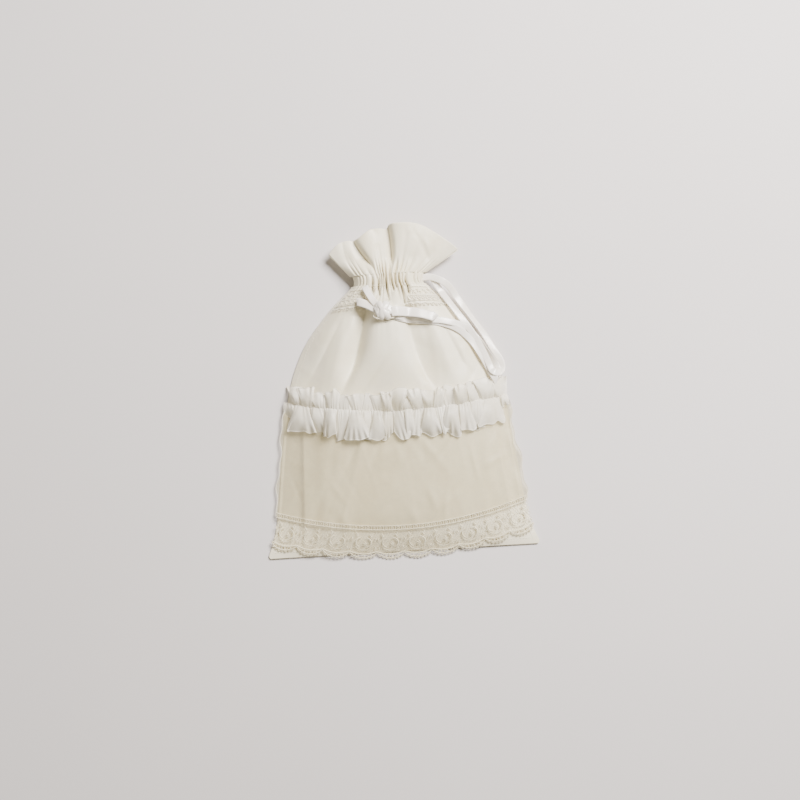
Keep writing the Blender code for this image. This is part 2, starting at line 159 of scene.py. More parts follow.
def gathers(across, distance):  # round ridges with sharp valleys between, strongest at the casing
    ridges = np.abs(np.sin(gatherPhase(across))) ** 0.85 - 0.68 + 0.08 * np.sin(57 * across)
    uneven = 0.75 + 0.3 * np.sin(7.7 * across + 1.3) + 0.1 * np.sin(31 * across)
    uneven = uneven * (0.42 + 0.68 * np.exp(-(((across - 0.14) / 0.42) ** 4)))
    return foldSizes["gatherDepth"] * uneven * ridges * np.exp(-np.abs(distance) / foldSizes["gatherReach"])


def sharpFold(offset, left, right):  # a crease: steep on one side, soft on the other
    return np.exp(-np.where(offset < 0, -offset / left, offset / right) ** 1.25)


def frontFolds(x, v):  # the raised fan under the bow, the deep folds beside it, softer folds further out
    left, right = smoothCurve(pleatLeft, v), smoothCurve(pleatRight, v)
    middle, half = (left + right) / 2, (right - left) / 2
    lasts = ease(126, 168, v) * (1 - ease(198, 213, v))
    valley = sharpFold(x - left + 4.5, 12, 4.8) * lasts
    second = sharpFold(x - right - 2.5, 3.0, 14) * lasts
    pleat = np.clip(1 - ((x - middle) / half) ** 2, 0, 1) * ease(120, 165, v) * (1 - ease(200, 214, v))
    flare = np.sin(x / 8.7 + 0.6) * ease(104, 128, v) * (1 - ease(145, 190, v))
    flare += 0.6 * np.sin(x / 15 - v / 60) * ease(30, 70, v) * (1 - ease(150, 190, v))
    far = 1.6 * bump(x, 41 - 0.25 * (v - 171), 7) * ease(135, 160, v) * (1 - ease(186, 202, v))
    far -= 2.4 * sharpFold(x - 54 + 0.5 * (v - 165), 9, 4) * ease(134, 156, v) * (1 - ease(182, 202, v))
    far -= 2.4 * sharpFold(x + 60 - 0.6 * (v - 165), 4, 9) * ease(138, 160, v) * (1 - ease(190, 206, v))
    far += 1.4 * bump(x, -46 + 0.45 * (v - 165), 8) * ease(136, 160, v) * (1 - ease(190, 206, v))
    high = foldSizes["pleatHeight"] * pleat + foldSizes["flareHeight"] * flare + far
    return high - foldSizes["valleyDepth"] * valley - foldSizes["secondDepth"] * second


def neckSlits(x, v):  # deep closed gathers just under and through the casing
    total = 0.0 * x
    for slitX, low, top in slits:
        closed = np.exp(-(((x - slitX - 0.12 * (215 - v)) / foldSizes["slitWidth"]) ** 2))
        total = total + closed * ease(low - 1, low + 2, v) * (1 - ease(top - 3, top + 6, v))
    return foldSizes["slitDepth"] * np.minimum(total, 1)


pouchSizes = {
    "edgeZ": 1.5, "cornerRadius": 4.0, "columns": 200, "rows": 228,
    "satinThickness": 0.4, "backThickness": 0.5, "liningThickness": 0.3, "liningInset": 13.0,
}


def sideZ(v):  # height of the front at its side edge: the turned seam, then the middle of the neck
    edge = pouchSizes["edgeZ"]
    return edge + (middleZ - edge) * ease(bodyLength - 12, casingTop, v)


def bagReach(v):  # half the bag's width, its lower corners rounded
    corner = pouchSizes["cornerRadius"]
    left = np.clip((corner - np.asarray(v, float)) / corner, 0, 1)
    return halfWidth(np.clip(v, 0, None)) - 0.3 - corner * (1 - np.sqrt(1 - left ** 2))


def frontHeight(x, v):  # outer face of the satin front
    v = np.asarray(v, float)
    inner = np.clip(v, 0, bodyLength)
    across = np.clip(x / bagReach(inner), -1, 1)
    arch = 1 - np.abs(across) ** (2.4 + 1.8 * (inner / bodyLength) ** 3)  # squarer towards the neck
    edge = pouchSizes["edgeZ"]
    crown = edge + (bellyHeight - edge) * smoothCurve(crownShape, inner / bodyLength)
    crown = crown + (neckHeight - crown) * ease(bodyLength - 20, bodyLength, v)
    low = sideZ(v)
    fade = 1 - np.abs(across) ** 6
    detail = frontFolds(x, v) + satinWrinkles(x, v) + gathers(across, v - bodyLength - 4) - neckSlits(x, v)
    return low + (crown - low) * arch + fade * detail * ease(0, 18, v)


print("sizes read from the frame")


def hexColour(text):  # sRGB hex to linear RGBA
    values = [int(text[i:i + 2], 16) / 255 for i in (0, 2, 4)]
    return (*[c / 12.92 if c <= 0.04045 else ((c + 0.055) / 1.055) ** 2.4 for c in values], 1)


def addNode(tree, kind, inputs=None, settings=None):
    node = tree.nodes.new(kind)
    for name, value in (settings or {}).items():
        setattr(node, name, value)
    for name, value in (inputs or {}).items():
        if isinstance(value, bpy.types.NodeSocket):
            tree.links.new(value, node.inputs[name])
        else:
            node.inputs[name].default_value = value
    return node


def threadBumps(tree, spacing, height, base):  # warp and weft ridges, spacing in mm
    place = addNode(tree, "ShaderNodeTexCoord")
    normal = base
    for direction in ("X", "Y"):
        wave = addNode(
            tree, "ShaderNodeTexWave",
            {"Vector": place.outputs["Object"], "Scale": 0.31 / (spacing * mm), "Distortion": 0.4},
            {"bands_direction": direction},
        )
        inputs = {"Height": wave.outputs["Fac"], "Strength": 0.22, "Distance": height * mm}
        if normal:
            inputs["Normal"] = normal
        normal = addNode(tree, "ShaderNodeBump", inputs).outputs["Normal"]
    return normal


def creases(tree, scale, height, strength):  # small soft creases left by handling
    place = addNode(tree, "ShaderNodeTexCoord")
    noise = addNode(tree, "ShaderNodeTexNoise", {
        "Vector": place.outputs["Object"], "Scale": scale, "Detail": 5, "Roughness": 0.5, "Distortion": 0.6,
    })
    crumple = {"Height": noise.outputs["Fac"], "Strength": strength, "Distance": height * mm}
    return addNode(tree, "ShaderNodeBump", crumple).outputs["Normal"]


def newCloth(name, dark, light, mottling, constants, weave=None, crumple=None, cover=None):
    material = bpy.data.materials.new(name)
    material.use_nodes = True
    tree = material.node_tree
    shader = tree.nodes["Principled BSDF"]
    for socket, value in constants.items():
        shader.inputs[socket].default_value = value
    place = addNode(tree, "ShaderNodeTexCoord")
    noise = addNode(tree, "ShaderNodeTexNoise", {
        "Vector": place.outputs["Object"], "Scale": mottling, "Detail": 4, "Roughness": 0.55,
    })
    ramp = addNode(tree, "ShaderNodeValToRGB", {"Fac": noise.outputs["Fac"]})  # two close tones
    for element, position, colour in zip(ramp.color_ramp.elements, (0.32, 0.68), (dark, light)):
        element.position = position
        element.color = hexColour(colour)
    tree.links.new(ramp.outputs["Color"], shader.inputs["Base Color"])
    if cover:  # how much a sheer cloth hides, a little uneven
        alpha = addNode(tree, "ShaderNodeMapRange", {
            "Value": noise.outputs["Fac"], "From Min": 0.3, "From Max": 0.7,
            "To Min": cover * 0.85, "To Max": cover * 1.15,
        })
        tree.links.new(alpha.outputs["Result"], shader.inputs["Alpha"])
    normal = creases(tree, *crumple) if crumple else None
    if weave:  # spacing and height in mm; a real weave is finer, and is drawn coarse enough to show
        normal = threadBumps(tree, *weave, normal)
    if normal:
        tree.links.new(normal, shader.inputs["Normal"])
    return material


def organza(name, cover, dark, light):  # crisp sheer weave: a bright veil over what lies under it
    return newCloth(name, dark, light, 45, {
        "Roughness": 0.45, "Sheen Weight": 0.5, "Sheen Roughness": 0.3, "IOR": 1.45,
        "Specular IOR Level": 0.5,
    }, (0.8, 0.06), (160, 0.4, 0.3), cover)


def laceCotton(name, dark, light, roughness=0.85):  # twisted cotton: mat and slightly fuzzy
    look = {"Roughness": roughness, "Sheen Weight": 0.4, "Sheen Roughness": 0.6}
    return newCloth(name, dark, light, 260, look, None, (1500, 0.15, 0.6))


# acetate satin, calendered: a broad soft gloss that follows every fold
satin = newCloth("bridal_satin", "ECE3C6", "F4EED8", 22, {
    "Roughness": 0.42, "Sheen Weight": 0.35, "Sheen Roughness": 0.4, "IOR": 1.47, "Specular IOR Level": 0.55,
}, (0.9, 0.05), (120, 0.5, 0.35))
# plain poplin: mat and even
lining = newCloth("poplin_lining", "E6E1CE", "EDE9DA", 30, {
    "Roughness": 0.8, "Sheen Weight": 0.2,
}, (0.7, 0.08))
veil = organza("organza_overskirt", 0.48, "CBC096", "D9CFA9")
frillVeil = organza("organza_ruffle", 0.7, "F1EBD8", "FAF6EA")
netVeil = organza("cotton_net", 0.22, "EAE7D8", "F3F1E6")
laceCord = laceCotton("cotton_lace_cord", "E0D6B4", "ECE4C8")
netCord = laceCotton("cotton_net_yarn", "C8BC92", "D6CBA4")
neckCord = laceCotton("cotton_beading_lace", "E8E0C8", "F3ECD8")
thread = laceCotton("polyester_thread", "E9E5D4", "F1EEE0", 0.6)
# single-face polyester ribbon: whiter and glossier than the pouch
ribbon = newCloth("satin_ribbon", "F5EEE2", "FBF7EE", 60, {
    "Roughness": 0.24, "Sheen Weight": 0.35, "IOR": 1.5, "Specular IOR Level": 0.7,
    "Coat Weight": 0.15, "Coat Roughness": 0.25,
}, (0.6, 0.04), (220, 0.3, 0.25))
print("materials made")


def toWorld(points):  # (x, v, z) in mm to the row frame in metres
    return (np.asarray(points, float) + [0, hemY, 0]) * mm


def pointsAt(x, v, z=0.0):  # (x, v, z) points from any mix of arrays and numbers
    return np.stack(np.broadcast_arrays(x, v, z), -1)


def meshPiece(name, points, faces, material):  # points in metres
    mesh = bpy.data.meshes.new(name)
    mesh.from_pydata(np.asarray(points).tolist(), [], faces)
    mesh.validate()
    mesh.shade_smooth()
    mesh.materials.append(material)
    piece = bpy.data.objects.new(name, mesh)
    bpy.context.scene.collection.objects.link(piece)
    return piece


def gridPiece(name, points, material, thickness=0.0):  # rows x columns x 3 in mm, columns x rows facing out
    rows, columns = points.shape[:2]
    index = np.arange(rows * columns).reshape(rows, columns)
    quads = np.stack([index[:-1, :-1], index[:-1, 1:], index[1:, 1:], index[1:, :-1]], -1).reshape(-1, 4)
    piece = meshPiece(name, toWorld(points).reshape(-1, 3), quads.tolist(), material)
    if thickness:
        wall = piece.modifiers.new("thickness", "SOLIDIFY")
        wall.thickness = thickness * mm
        wall.offset = -1
    return piece


def finishPiece(piece, body, nodes=""):  # nodes: the CAD nodes that it stands for
    if body:
        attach(piece, body)
    if nodes:
        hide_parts(*nodes.split())
    return piece


def workPiece(name, work, material, body, nodes=""):  # cords, motifs and stitches: points, quads
    points, quads = work
    return finishPiece(meshPiece(name, toWorld(points), quads.tolist(), material), body, nodes)


def clothPiece(name, points, material, thickness, slotName, body, nodes, bend=(), **sheet):
    piece = finishPiece(gridPiece(name, points, material, thickness), body, nodes)
    if bend:
        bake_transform(piece)


def acrossGrid(columns, rows, low=0.0, high=1.0):  # -1 to 1 across, low to high along
    return np.meshgrid(np.linspace(-1, 1, columns), np.linspace(low, high, rows))


def runAlong(path):  # distance along the path at each of its points
    return np.concatenate([[0], np.cumsum(np.linalg.norm(np.diff(path, axis=0), axis=1))])


def at(v, z=0.0):  # a point on the middle line
    return (0.0, (v + hemY) * mm, z * mm)


def axesAlong(path, closed=False):  # heading, side and up at each point of a path
    heading = np.roll(path, -1, 0) - np.roll(path, 1, 0) if closed else np.gradient(path, axis=0)
    heading = heading / (np.linalg.norm(heading, axis=1)[:, None] + 1e-9)
    side = np.cross(heading, [0, 0, 1.0])
    side = side / (np.linalg.norm(side, axis=1)[:, None] + 1e-9)
    return heading, side, np.cross(side, heading)


def sweep(path, radii, sides=6, squash=1.0, closed=False):  # a tube's points and quads along a path in mm
    path = np.asarray(path, float)
    count = len(path)
    radii = np.broadcast_to(np.asarray(radii, float), count)
    _, side, up = axesAlong(path, closed)
    turn = np.linspace(0, 2 * math.pi, sides, endpoint=False)
    ring = np.cos(turn)[None, :, None] * side[:, None] + squash * np.sin(turn)[None, :, None] * up[:, None]
    points = (path[:, None] + radii[:, None, None] * ring).reshape(-1, 3)
    i, j = np.meshgrid(np.arange(count if closed else count - 1), np.arange(sides), indexing="ij")
    i, j = i.ravel(), j.ravel()
    after, beside = (i + 1) % count, (j + 1) % sides
    quads = np.stack([i * sides + j, i * sides + beside, after * sides + beside, after * sides + j], -1)
    return points, quads


def merge(parts):
    points, quads, start = [], [], 0
    for some, faces in parts:
        points.append(some)
        quads.append(faces + start)
        start += len(some)
    return np.concatenate(points), np.concatenate(quads)


def scatterNodes():  # one motif on each point, turned by the point's own angle, its size a little random
    group = bpy.data.node_groups.new("scatterMotif", "GeometryNodeTree")
    sockets = (
        ("Geometry", "Geometry"), ("Motif", "Object"), ("Size", "Float"),
        ("Size Spread", "Float"), ("Seed", "Int"), ("Material", "Material"),
    )
    for name, kind in sockets:
        group.interface.new_socket(name, in_out="INPUT", socket_type=f"NodeSocket{kind}")
    group.interface.new_socket("Geometry", in_out="OUTPUT", socket_type="NodeSocketGeometry")

    def maths(operation, first, second):
        return addNode(group, "ShaderNodeMath", {0: first, 1: second}, {"operation": operation}).outputs[0]

    given = addNode(group, "NodeGroupInput").outputs
    motif = addNode(group, "GeometryNodeObjectInfo", {"Object": given["Motif"]})
    turn = addNode(
        group, "GeometryNodeInputNamedAttribute", {"Name": "turn"}, {"data_type": "FLOAT_VECTOR"})
    low = maths("SUBTRACT", 1.0, given["Size Spread"])
    high = maths("ADD", 1.0, given["Size Spread"])
    spread = addNode(group, "FunctionNodeRandomValue", {2: low, 3: high, "Seed": given["Seed"]})
    placed = addNode(group, "GeometryNodeInstanceOnPoints", {
        "Points": given["Geometry"], "Instance": motif.outputs["Geometry"],
        "Rotation": turn.outputs["Attribute"], "Scale": maths("MULTIPLY", given["Size"], spread.outputs[1]),
    })
    real = addNode(group, "GeometryNodeRealizeInstances", {"Geometry": placed.outputs["Instances"]})
    painted = addNode(
        group, "GeometryNodeSetMaterial",
        {"Geometry": real.outputs["Geometry"], "Material": given["Material"]},
    )
    addNode(group, "NodeGroupOutput", {0: painted.outputs["Geometry"]})
    return group


scatterGroup = scatterNodes()


def scatter(motif, places, angles, material, spread=0.0, seed=1):  # the motif, set at each place
    def newObject(name, points, faces):
        mesh = bpy.data.meshes.new(name)
        mesh.from_pydata((np.asarray(points, float) * mm).tolist(), [], np.asarray(faces).tolist())
        made = bpy.data.objects.new(name, mesh)
        bpy.context.scene.collection.objects.link(made)
        return made

    shape = newObject("motif", *motif)
    holder = newObject("holder", places, [])
    turn = holder.data.attributes.new("turn", "FLOAT_VECTOR", "POINT")
    angles = np.broadcast_to(angles, len(places))
    turn.data.foreach_set("vector", pointsAt(0.0, 0.0, angles).ravel().tolist())
    nodes = holder.modifiers.new("scatter", "NODES")
    nodes.node_group = scatterGroup
    values = {"Motif": shape, "Size": 1.0, "Size Spread": spread, "Seed": seed, "Material": material}
    for item in scatterGroup.interface.items_tree:
        if item.in_out == "INPUT" and item.name in values:
            nodes[item.identifier] = values[item.name]
    graph = bpy.context.evaluated_depsgraph_get()
    graph.update()
    mesh = bpy.data.meshes.new_from_object(holder.evaluated_get(graph))
    points = np.empty(len(mesh.vertices) * 3)
    mesh.vertices.foreach_get("co", points)
    faces = np.array([tuple(face.vertices) for face in mesh.polygons])
    for used in (shape, holder):
        bpy.data.objects.remove(used)
    bpy.data.meshes.remove(mesh)
    return points.reshape(-1, 3) / mm, faces


def drape(flat, lift):  # lays flat work (x, v, h) on the front of the bag
    x, v, h = flat.T
    return pointsAt(x, v, frontHeight(x, v) + lift + h)


def circle(radius, count=14):
    turn = np.linspace(0, 2 * math.pi, count, endpoint=False)
    return pointsAt(radius * np.cos(turn), radius * np.sin(turn))


def ringsAt(places, radius, wire, count, material, spread, seed=1):  # one small worked ring at each place
    return scatter(sweep(circle(radius, count), wire, 5, closed=True), places, 0.0, material, spread, seed)


def stitch(length, radius):  # a short float of thread, its ends drawn down
    t = np.linspace(-1, 1, 5)
    return sweep(pointsAt(length / 2 * t, 0, radius * 1.2 * (1 - t * t)), radius * np.sqrt(1.02 - t * t), 5)


def stitchLine(xs, vs, pitch, length, radius):  # stitches in flat (x, v, h) along a line
    run = runAlong(pointsAt(xs, vs))
    spots = np.arange(pitch / 2, run[-1], pitch)
    x, v = np.interp(spots, run, xs), np.interp(spots, run, vs)
    angle = np.arctan2(np.gradient(v), np.gradient(x))
    return scatter(stitch(length, radius), pointsAt(x, v), angle, thread, spread=0.12, seed=7)


def makePouch():
    across, v = np.meshgrid(
        np.sin(math.pi / 2 * np.linspace(-1, 1, pouchSizes["columns"])),
        np.concatenate([np.linspace(0.3, 4, 8), np.linspace(5, bodyLength + 0.5, pouchSizes["rows"])]),
    )
    x = across * bagReach(v)
    clothPiece(
        "satinFront", pointsAt(x, v, frontHeight(x, v)), satin, pouchSizes["satinThickness"],
        "satin", "bag", "front_panel", held="gathered", rests_on=["back_panel"],
    )

    across, v = acrossGrid(60, 110, 0.6, bodyLength + 0.5)
    x = across * (bagReach(v) - 0.3)
    inner = 1 - np.abs(across) ** 8
    z = 1.12 - 0.35 * inner + inner * (0.35 + 0.3 * np.sin(x / 17 + v / 40) + 0.3 * np.sin(v / 23 - x / 31))
    clothPiece(
        "satinBack", pointsAt(x, v, z), satin, pouchSizes["backThickness"],
        "satin", "bag", "back_panel", held="laid",
    )

    across, v = acrossGrid(60, 90, 16, bodyLength - 5)
    x = across * (halfWidth(v) - pouchSizes["liningInset"])
    for name, z, node, held, under in (
        ("liningFront", np.maximum(frontHeight(x, v) - 2.2, 3.0), "front_lining", "hung", "satinFront"),
        ("liningBack", 1.85, "back_lining", "laid", "satinBack"),
    ):
        clothPiece(
            name, pointsAt(x, v, z), lining, pouchSizes["liningThickness"],
            "lining", "bag", node, held=held, rests_on=[under],
        )


seamSizes = {
    "radius": 0.32, "pucker": 0.05, "puckerSpacing": 4.1, "inset": 3.4, "middle": 1.25, "sides": 10,
}


def seamPiece(name, x, v, radii, node):  # a closed roll of turned satin
    sides = seamSizes["sides"]
    points, quads = sweep(pointsAt(x, v, seamSizes["middle"]), radii, sides)
    ends = [list(range(sides))[::-1], list(range(len(points) - sides, len(points)))]
    finishPiece(meshPiece(name, toWorld(points), quads.tolist() + ends, satin), "bag", node)


def makeSeams():
    spacing = 2 * math.pi / seamSizes["puckerSpacing"]
    for name, side, node in (("seamLeft", -1, "side_seam_left"), ("seamRight", 1, "side_seam_right")):
        v = np.linspace(3.6, bodyLength, 420)
        pucker = seamSizes["pucker"] * np.sin(spacing * v + side)
        radii = seamSizes["radius"] + pucker
        radii[-25:] *= np.linspace(1, 0.5, 25)
        seamPiece(name, side * (halfWidth(v) - seamSizes["inset"] + 0.4 * pucker), v, radii, node)
    reach = halfWidth(0.0) - 6.0
    x = np.linspace(-reach, reach, 380)
    radii = seamSizes["radius"] + seamSizes["pucker"] * np.sin(spacing * x)
    seamPiece("seamHem", x, 3.4 + 0.1 * np.sin(x / 21), radii, "hem_seam")


frillSizes = {
    "columns": 280, "rows": 46, "thickness": 0.35,
    "firstValley": 7.5, "secondValley": 7.5, "thirdValley": 3.4, "fanFolds": 1.5, "rimCurl": 1.3,
}
frillRim = (
    (-1.0, 0.475), (-0.9, 0.6), (-0.79, 0.69), (-0.66, 0.725), (-0.575, 0.715), (-0.49, 0.74), (-0.36, 0.84),
    (-0.23, 0.92), (-0.1, 0.925), (0.01, 0.905), (0.05, 0.985), (0.12, 1.0), (0.3, 1.0), (0.4, 0.985),
    (0.5, 0.945), (0.69, 0.78), (0.85, 0.61), (0.95, 0.5), (1.0, 0.43),
)


def frillFolds(across, s):  # fan of folds: sharp valleys that spread from the casing to the rim
    def valley(foot, rim, left, right, depth, bow=0.0):
        line = foot + (rim - foot) * s ** 0.85 + bow * s * (1 - s)
        return -depth * sharpFold((across - line) * 50, left, right)

    grow = 0.5 + 0.5 * ease(0, 0.35, s)
    total = valley(-0.28, -0.565, 9.0, 2.0, frillSizes["firstValley"], -0.03) * grow
    total += valley(0.12, 0.035, 8.0, 1.6, frillSizes["secondValley"]) * grow
    total += valley(-0.86, -0.75, 5.0, 8.0, frillSizes["thirdValley"])
    total += 1.8 * bump(across, -0.3 - 0.06 * s, 0.13) * s + 2.2 * bump(across, 0.28, 0.2) * s
    for foot, rim, depth in ((0.3, 0.27, 1.6), (0.44, 0.52, 1.8), (0.66, 0.82, 1.6), (-0.08, -0.2, 1.4)):
        total += valley(foot, rim, 4.0, 6.0, depth * frillSizes["fanFolds"]) * np.clip(1 - 1.3 * s, 0.12, 1)
    return total


frillWrinkles = makeWrinkles(5, 70, 55, (232, 276), 10, 2.2, 0.4, 0.0)


def neckProfile(q, v):  # section through the gathered neck, shared by the pouch, the casing and the frill
    arch = 1 - np.abs(q) ** 4.2
    low = sideZ(v)
    ridges = (1 - np.abs(q) ** 6) * (gathers(q, 0 * q) - neckSlits(q * neckHalf, v))
    return low + (neckHeight - low) * arch + ridges


def frillPoints(facing):  # 1 for the front half of the frill, -1 for the back
    q, s = acrossGrid(frillSizes["columns"], frillSizes["rows"])
    wide = np.where(q < 0, frillLeft, frillRight)
    spread = np.sin(s * math.pi / 2) * (1 - q ** 4) + s * q ** 4
    x = q * (neckHalf + (wide - neckHalf) * spread)
    v = frillFoot - 0.6 + s * (frillHeight * smoothCurve(frillRim, q) + 0.6)
    arch = 1 - np.abs(q) ** np.where(q < 0, 2.0, 3.0)
    fade = 1 - np.abs(q) ** 8
    if facing < 0:
        z = middleZ - 0.4 - (middleZ - 1.4) * arch + fade * (1.2 + 1.1 * np.sin(q * 17 + 1) * s)
        return pointsAt(x, v - 1.2 * s, np.maximum(z, 0.7))
    rise = v - frillFoot
    curl = frillSizes["rimCurl"] * s ** 3 * np.sin(q * 7.3 + 0.8)
    mouth = middleZ + 0.4 + (middleZ - 0.8 + 1.5 * s) * arch
    mouth += fade * (frillFolds(q, s) * (0.35 + 0.65 * arch) + curl + frillWrinkles(x, v))
    mouth += fade * gathers(q, 26 + 0 * q) * np.clip(1 - rise / 26, 0, 1)
    foot = neckProfile(q, v)
    return pointsAt(x, v, foot + (mouth - foot) * ease(-1, 15, rise))


def makeFrill():
    clothPiece(
        "frillFront", frillPoints(1), satin, frillSizes["thickness"], "satin", None, "front_frill",
        bend=("bag", "frill_flap", at(frillFoot - 0.5), at(frillFoot + 12)),
        held="gathered", rests_on=["frillBack"],
    )
    clothPiece(
        "frillBack", frillPoints(-1)[:, ::-1], satin, frillSizes["thickness"],
        "satin", "bag", "back_frill", held="gathered",
    )


casingSizes = {"columns": 340, "rows": 26, "thickness": 0.4, "waistPinch": 2.6, "slit": 2.3}


def makeNeck():  # the casing: a ring of tight gathers over the ribbon
    q, s = acrossGrid(casingSizes["columns"], casingSizes["rows"])
    v = bodyLength - 1.5 + s * (frillFoot + 1.2 - bodyLength + 1.5)
    x = q * (neckHalf - 0.3 - casingSizes["waistPinch"] * np.sin(s * math.pi) ** 0.7)
    slit = casingSizes["slit"] * ease(0.7, 0.96, q) * np.sin(s * math.pi) ** 0.5  # the ribbon comes out here
    z = neckProfile(q, v) + 0.7 * np.sin(s * math.pi) * (1 - q ** 6) - 0.4 * ease(0.8, 1, s) + slit
    clothPiece(
        "casingFront", pointsAt(x, v, z), satin, casingSizes["thickness"],
        "satin", "bag", "front_casing", held="gathered",
    )
    arch = 1 - np.abs(q) ** 4.2
    z = (middleZ - 0.2) * (1 - arch) * ease(0, 1, s) + 0.9 * arch + 0.9 * (1 - arch) * (1 - ease(0, 1, s))
    z = np.maximum(z + 0.4 * (1 - np.abs(q) ** 8) * (gathers(q, 0 * v) + 1.5) - slit, 0.6)
    clothPiece(
        "casingBack", pointsAt(x, v, z)[:, ::-1], satin, casingSizes["thickness"],
        "satin", "bag", "back_casing", held="gathered",
    )


makePouch()
makeSeams()
makeNeck()
makeFrill()
print("pouch, seams, casing and frill made")


ruffleSizes = {
    "reach": 94.0, "riseLeft": 13.0, "riseRight": 9.0, "reference": 92.0,
    "upper": 17.0, "lower": 24.0, "columns": 1000, "rows": 20,
    "puffMiddle": 8.5, "puffSide": 14.0, "puffHeight": 6.2, "sideHeight": 1.6, "sway": 2.4,
    "loop": 0.42, "ribPitch": 2.6, "ribHeight": 0.34, "crinkle": 1.0, "hemRadius": 0.3, "seed": 3,
}
ruffleV = nodeBox("ruffle_band")[0][1] + 1.5 - hemY


def ruffleLine(x):
    rise = np.where(x < 0, ruffleSizes["riseLeft"], ruffleSizes["riseRight"])
    return ruffleV + rise * (x / ruffleSizes["reference"]) ** 2


def smoothNoise(u, seed, waves):  # a sum of a few random sines, about -1 to 1, with so many waves in all
    rng = np.random.default_rng(seed)
    pitch = 2 * ruffleSizes["reach"] / waves * rng.uniform(0.6, 1.7, 5)
    phase = rng.uniform(0, 2 * math.pi, 5)
    return sum(np.sin(2 * math.pi * u / p + f) for p, f in zip(pitch, phase)) / 2.6


def ruffleGrid(direction, reach, seed, lean):  # round puffs, creased between; rows run to the free edge
    sizes = ruffleSizes
    upper, lower = (1, 0) if direction > 0 else (0, 1)
    u = np.linspace(-sizes["reach"], sizes["reach"], sizes["columns"])
    s = np.linspace(0, 1, sizes["rows"])[:, None]
    out = np.abs(u) / sizes["reach"]
    end = ease(0.86, 1, out)
    calm = 1 - ease(0.9, 1.0, out)  # the puffs die down at the ends
    wide = sizes["puffMiddle"] + (sizes["puffSide"] - sizes["puffMiddle"]) * out ** 1.4
    wide = wide * (1 + 0.32 * smoothNoise(u, seed + 5, 14))
    phase = np.cumsum(math.pi / wide) * (u[1] - u[0]) + seed
    strength = np.clip(0.85 + 0.45 * smoothNoise(u, seed + 1, 11), 0.45, 1.25) * lean(u)
    strong = np.minimum(strength * 1.2, 1)
    high = (sizes["puffHeight"] + sizes["sideHeight"] * out ** 2) * strength * (0.45 + 0.55 * calm)
    lobe = np.abs(np.sin(phase)) ** 0.62
    dome = np.sin(math.pi * np.clip(0.05 + 0.9 * s ** 0.85, 0, 1)) ** 0.8
    drift = 1.6 * smoothNoise(u, seed + 7, 30) + 3.0 * smoothNoise(u, seed + 8, 8)
    x = u - sizes["loop"] * wide * np.sin(2 * phase) * s * strong * calm
    x = x + drift * s ** 1.3 * (0.25 + 0.75 * calm)
    x = x + upper * 5.0 * ease(0.78, 1, out) * (u < 0)
    x = x + np.sign(u) * (0.5 * upper + 2.5 * lower) * s * end
    uneven = 0.09 * smoothNoise(u, seed + 2, 12) + 0.05 * smoothNoise(u, seed + 4, 45)
    length = reach * (0.58 + 0.43 * lobe * strong + 0.25 * (1 - strong) + uneven)
    length = length * (1 - 0.6 * lower * end)
    v = ruffleLine(u) + direction * (length * s - 0.8)
    ribs = np.sin(2 * math.pi * u / sizes["ribPitch"] + 2.5 * smoothNoise(u, seed + 3, 20))
    ribs = sizes["ribHeight"] * ribs * (0.08 + 0.92 * np.exp(-3.2 * s))
    sway = sizes["sway"] * np.sin(phase) * s * strong
    crinkle = np.sin(3 * phase + 4 * smoothNoise(u, seed + 9, 25))
    crinkle = sizes["crinkle"] * crinkle * ease(0.5, 1, s) * strong
    z = 1.0 + 0.8 * s + high * (0.2 + 0.8 * lobe) * dome + ribs + sway + crinkle
    z = 0.5 + np.logaddexp(0, 2.2 * (z - 0.5)) / 2.2  # never below the satin
    beyond = np.maximum(np.abs(x) - halfWidth(v) + 1.5, 0)
    z = frontHeight(np.clip(x, -91, 91), v) + z + 0.6 * lower - 0.25 * beyond
    return pointsAt(x, v, np.maximum(z, 1.0))


def upperLean(u):  # the middle of the upper ruffle lies pressed flat
    return 1 - 0.72 * ease(-66, -56, u) * (1 - ease(-22, -10, u))


def makeRuffle():
    for name, direction, reach, seed, lean, node in (
        ("ruffleUpper", 1, ruffleSizes["upper"], ruffleSizes["seed"], upperLean, "ruffle_upper"),
        ("ruffleLower", -1, ruffleSizes["lower"], ruffleSizes["seed"] + 20, np.ones_like, "ruffle_lower"),
    ):
        points = ruffleGrid(direction, reach, seed, lean)
        clothPiece(
            name, points if direction > 0 else points[:, ::-1], frillVeil, 0.0,
            "organza", "bag", node, held="gathered", rests_on=["satinFront"],
        )
        hem = sweep(points[-1] + [0, 0.1 * direction, 0], ruffleSizes["hemRadius"], 5)
        workPiece(f"{name}Hem", hem, frillVeil, "bag")
    x = np.linspace(-92, 92, 900)
    lines = []
    for offset, phase in ((0.9, 0.0), (-0.9, 1.4)):
        v = ruffleLine(x) + offset + 0.25 * np.sin(x * 1.7 + phase)
        h = 0.35 * np.sin(2 * math.pi * x / ruffleSizes["ribPitch"] + phase) + 0.4
        lines.append(sweep(pointsAt(x, v, h), 0.17, 5))
    flat, quads = merge(lines)
    workPiece("ruffleThread", (drape(flat, 1.7), quads), thread, "bag", "ruffle_band")


overskirtSizes = {
    "overhang": 1.8, "columns": 230, "rows": 110, "lift": 1.0, "foldHeight": 3.1, "hemRadius": 0.4,
}
headingMiddle = nodeBox("lace_heading")[0][1] - hemY + 2.0


def headingLine(x):
    return headingMiddle + np.where(x < 0, 20.0, 23.0) * (x / hemHalf) ** 2


def laceEdge(x):
    return nodeBox("lace_border")[0][1] - hemY + 1.1 + np.where(x < 0, 15.0, 18.5) * (x / hemHalf) ** 2


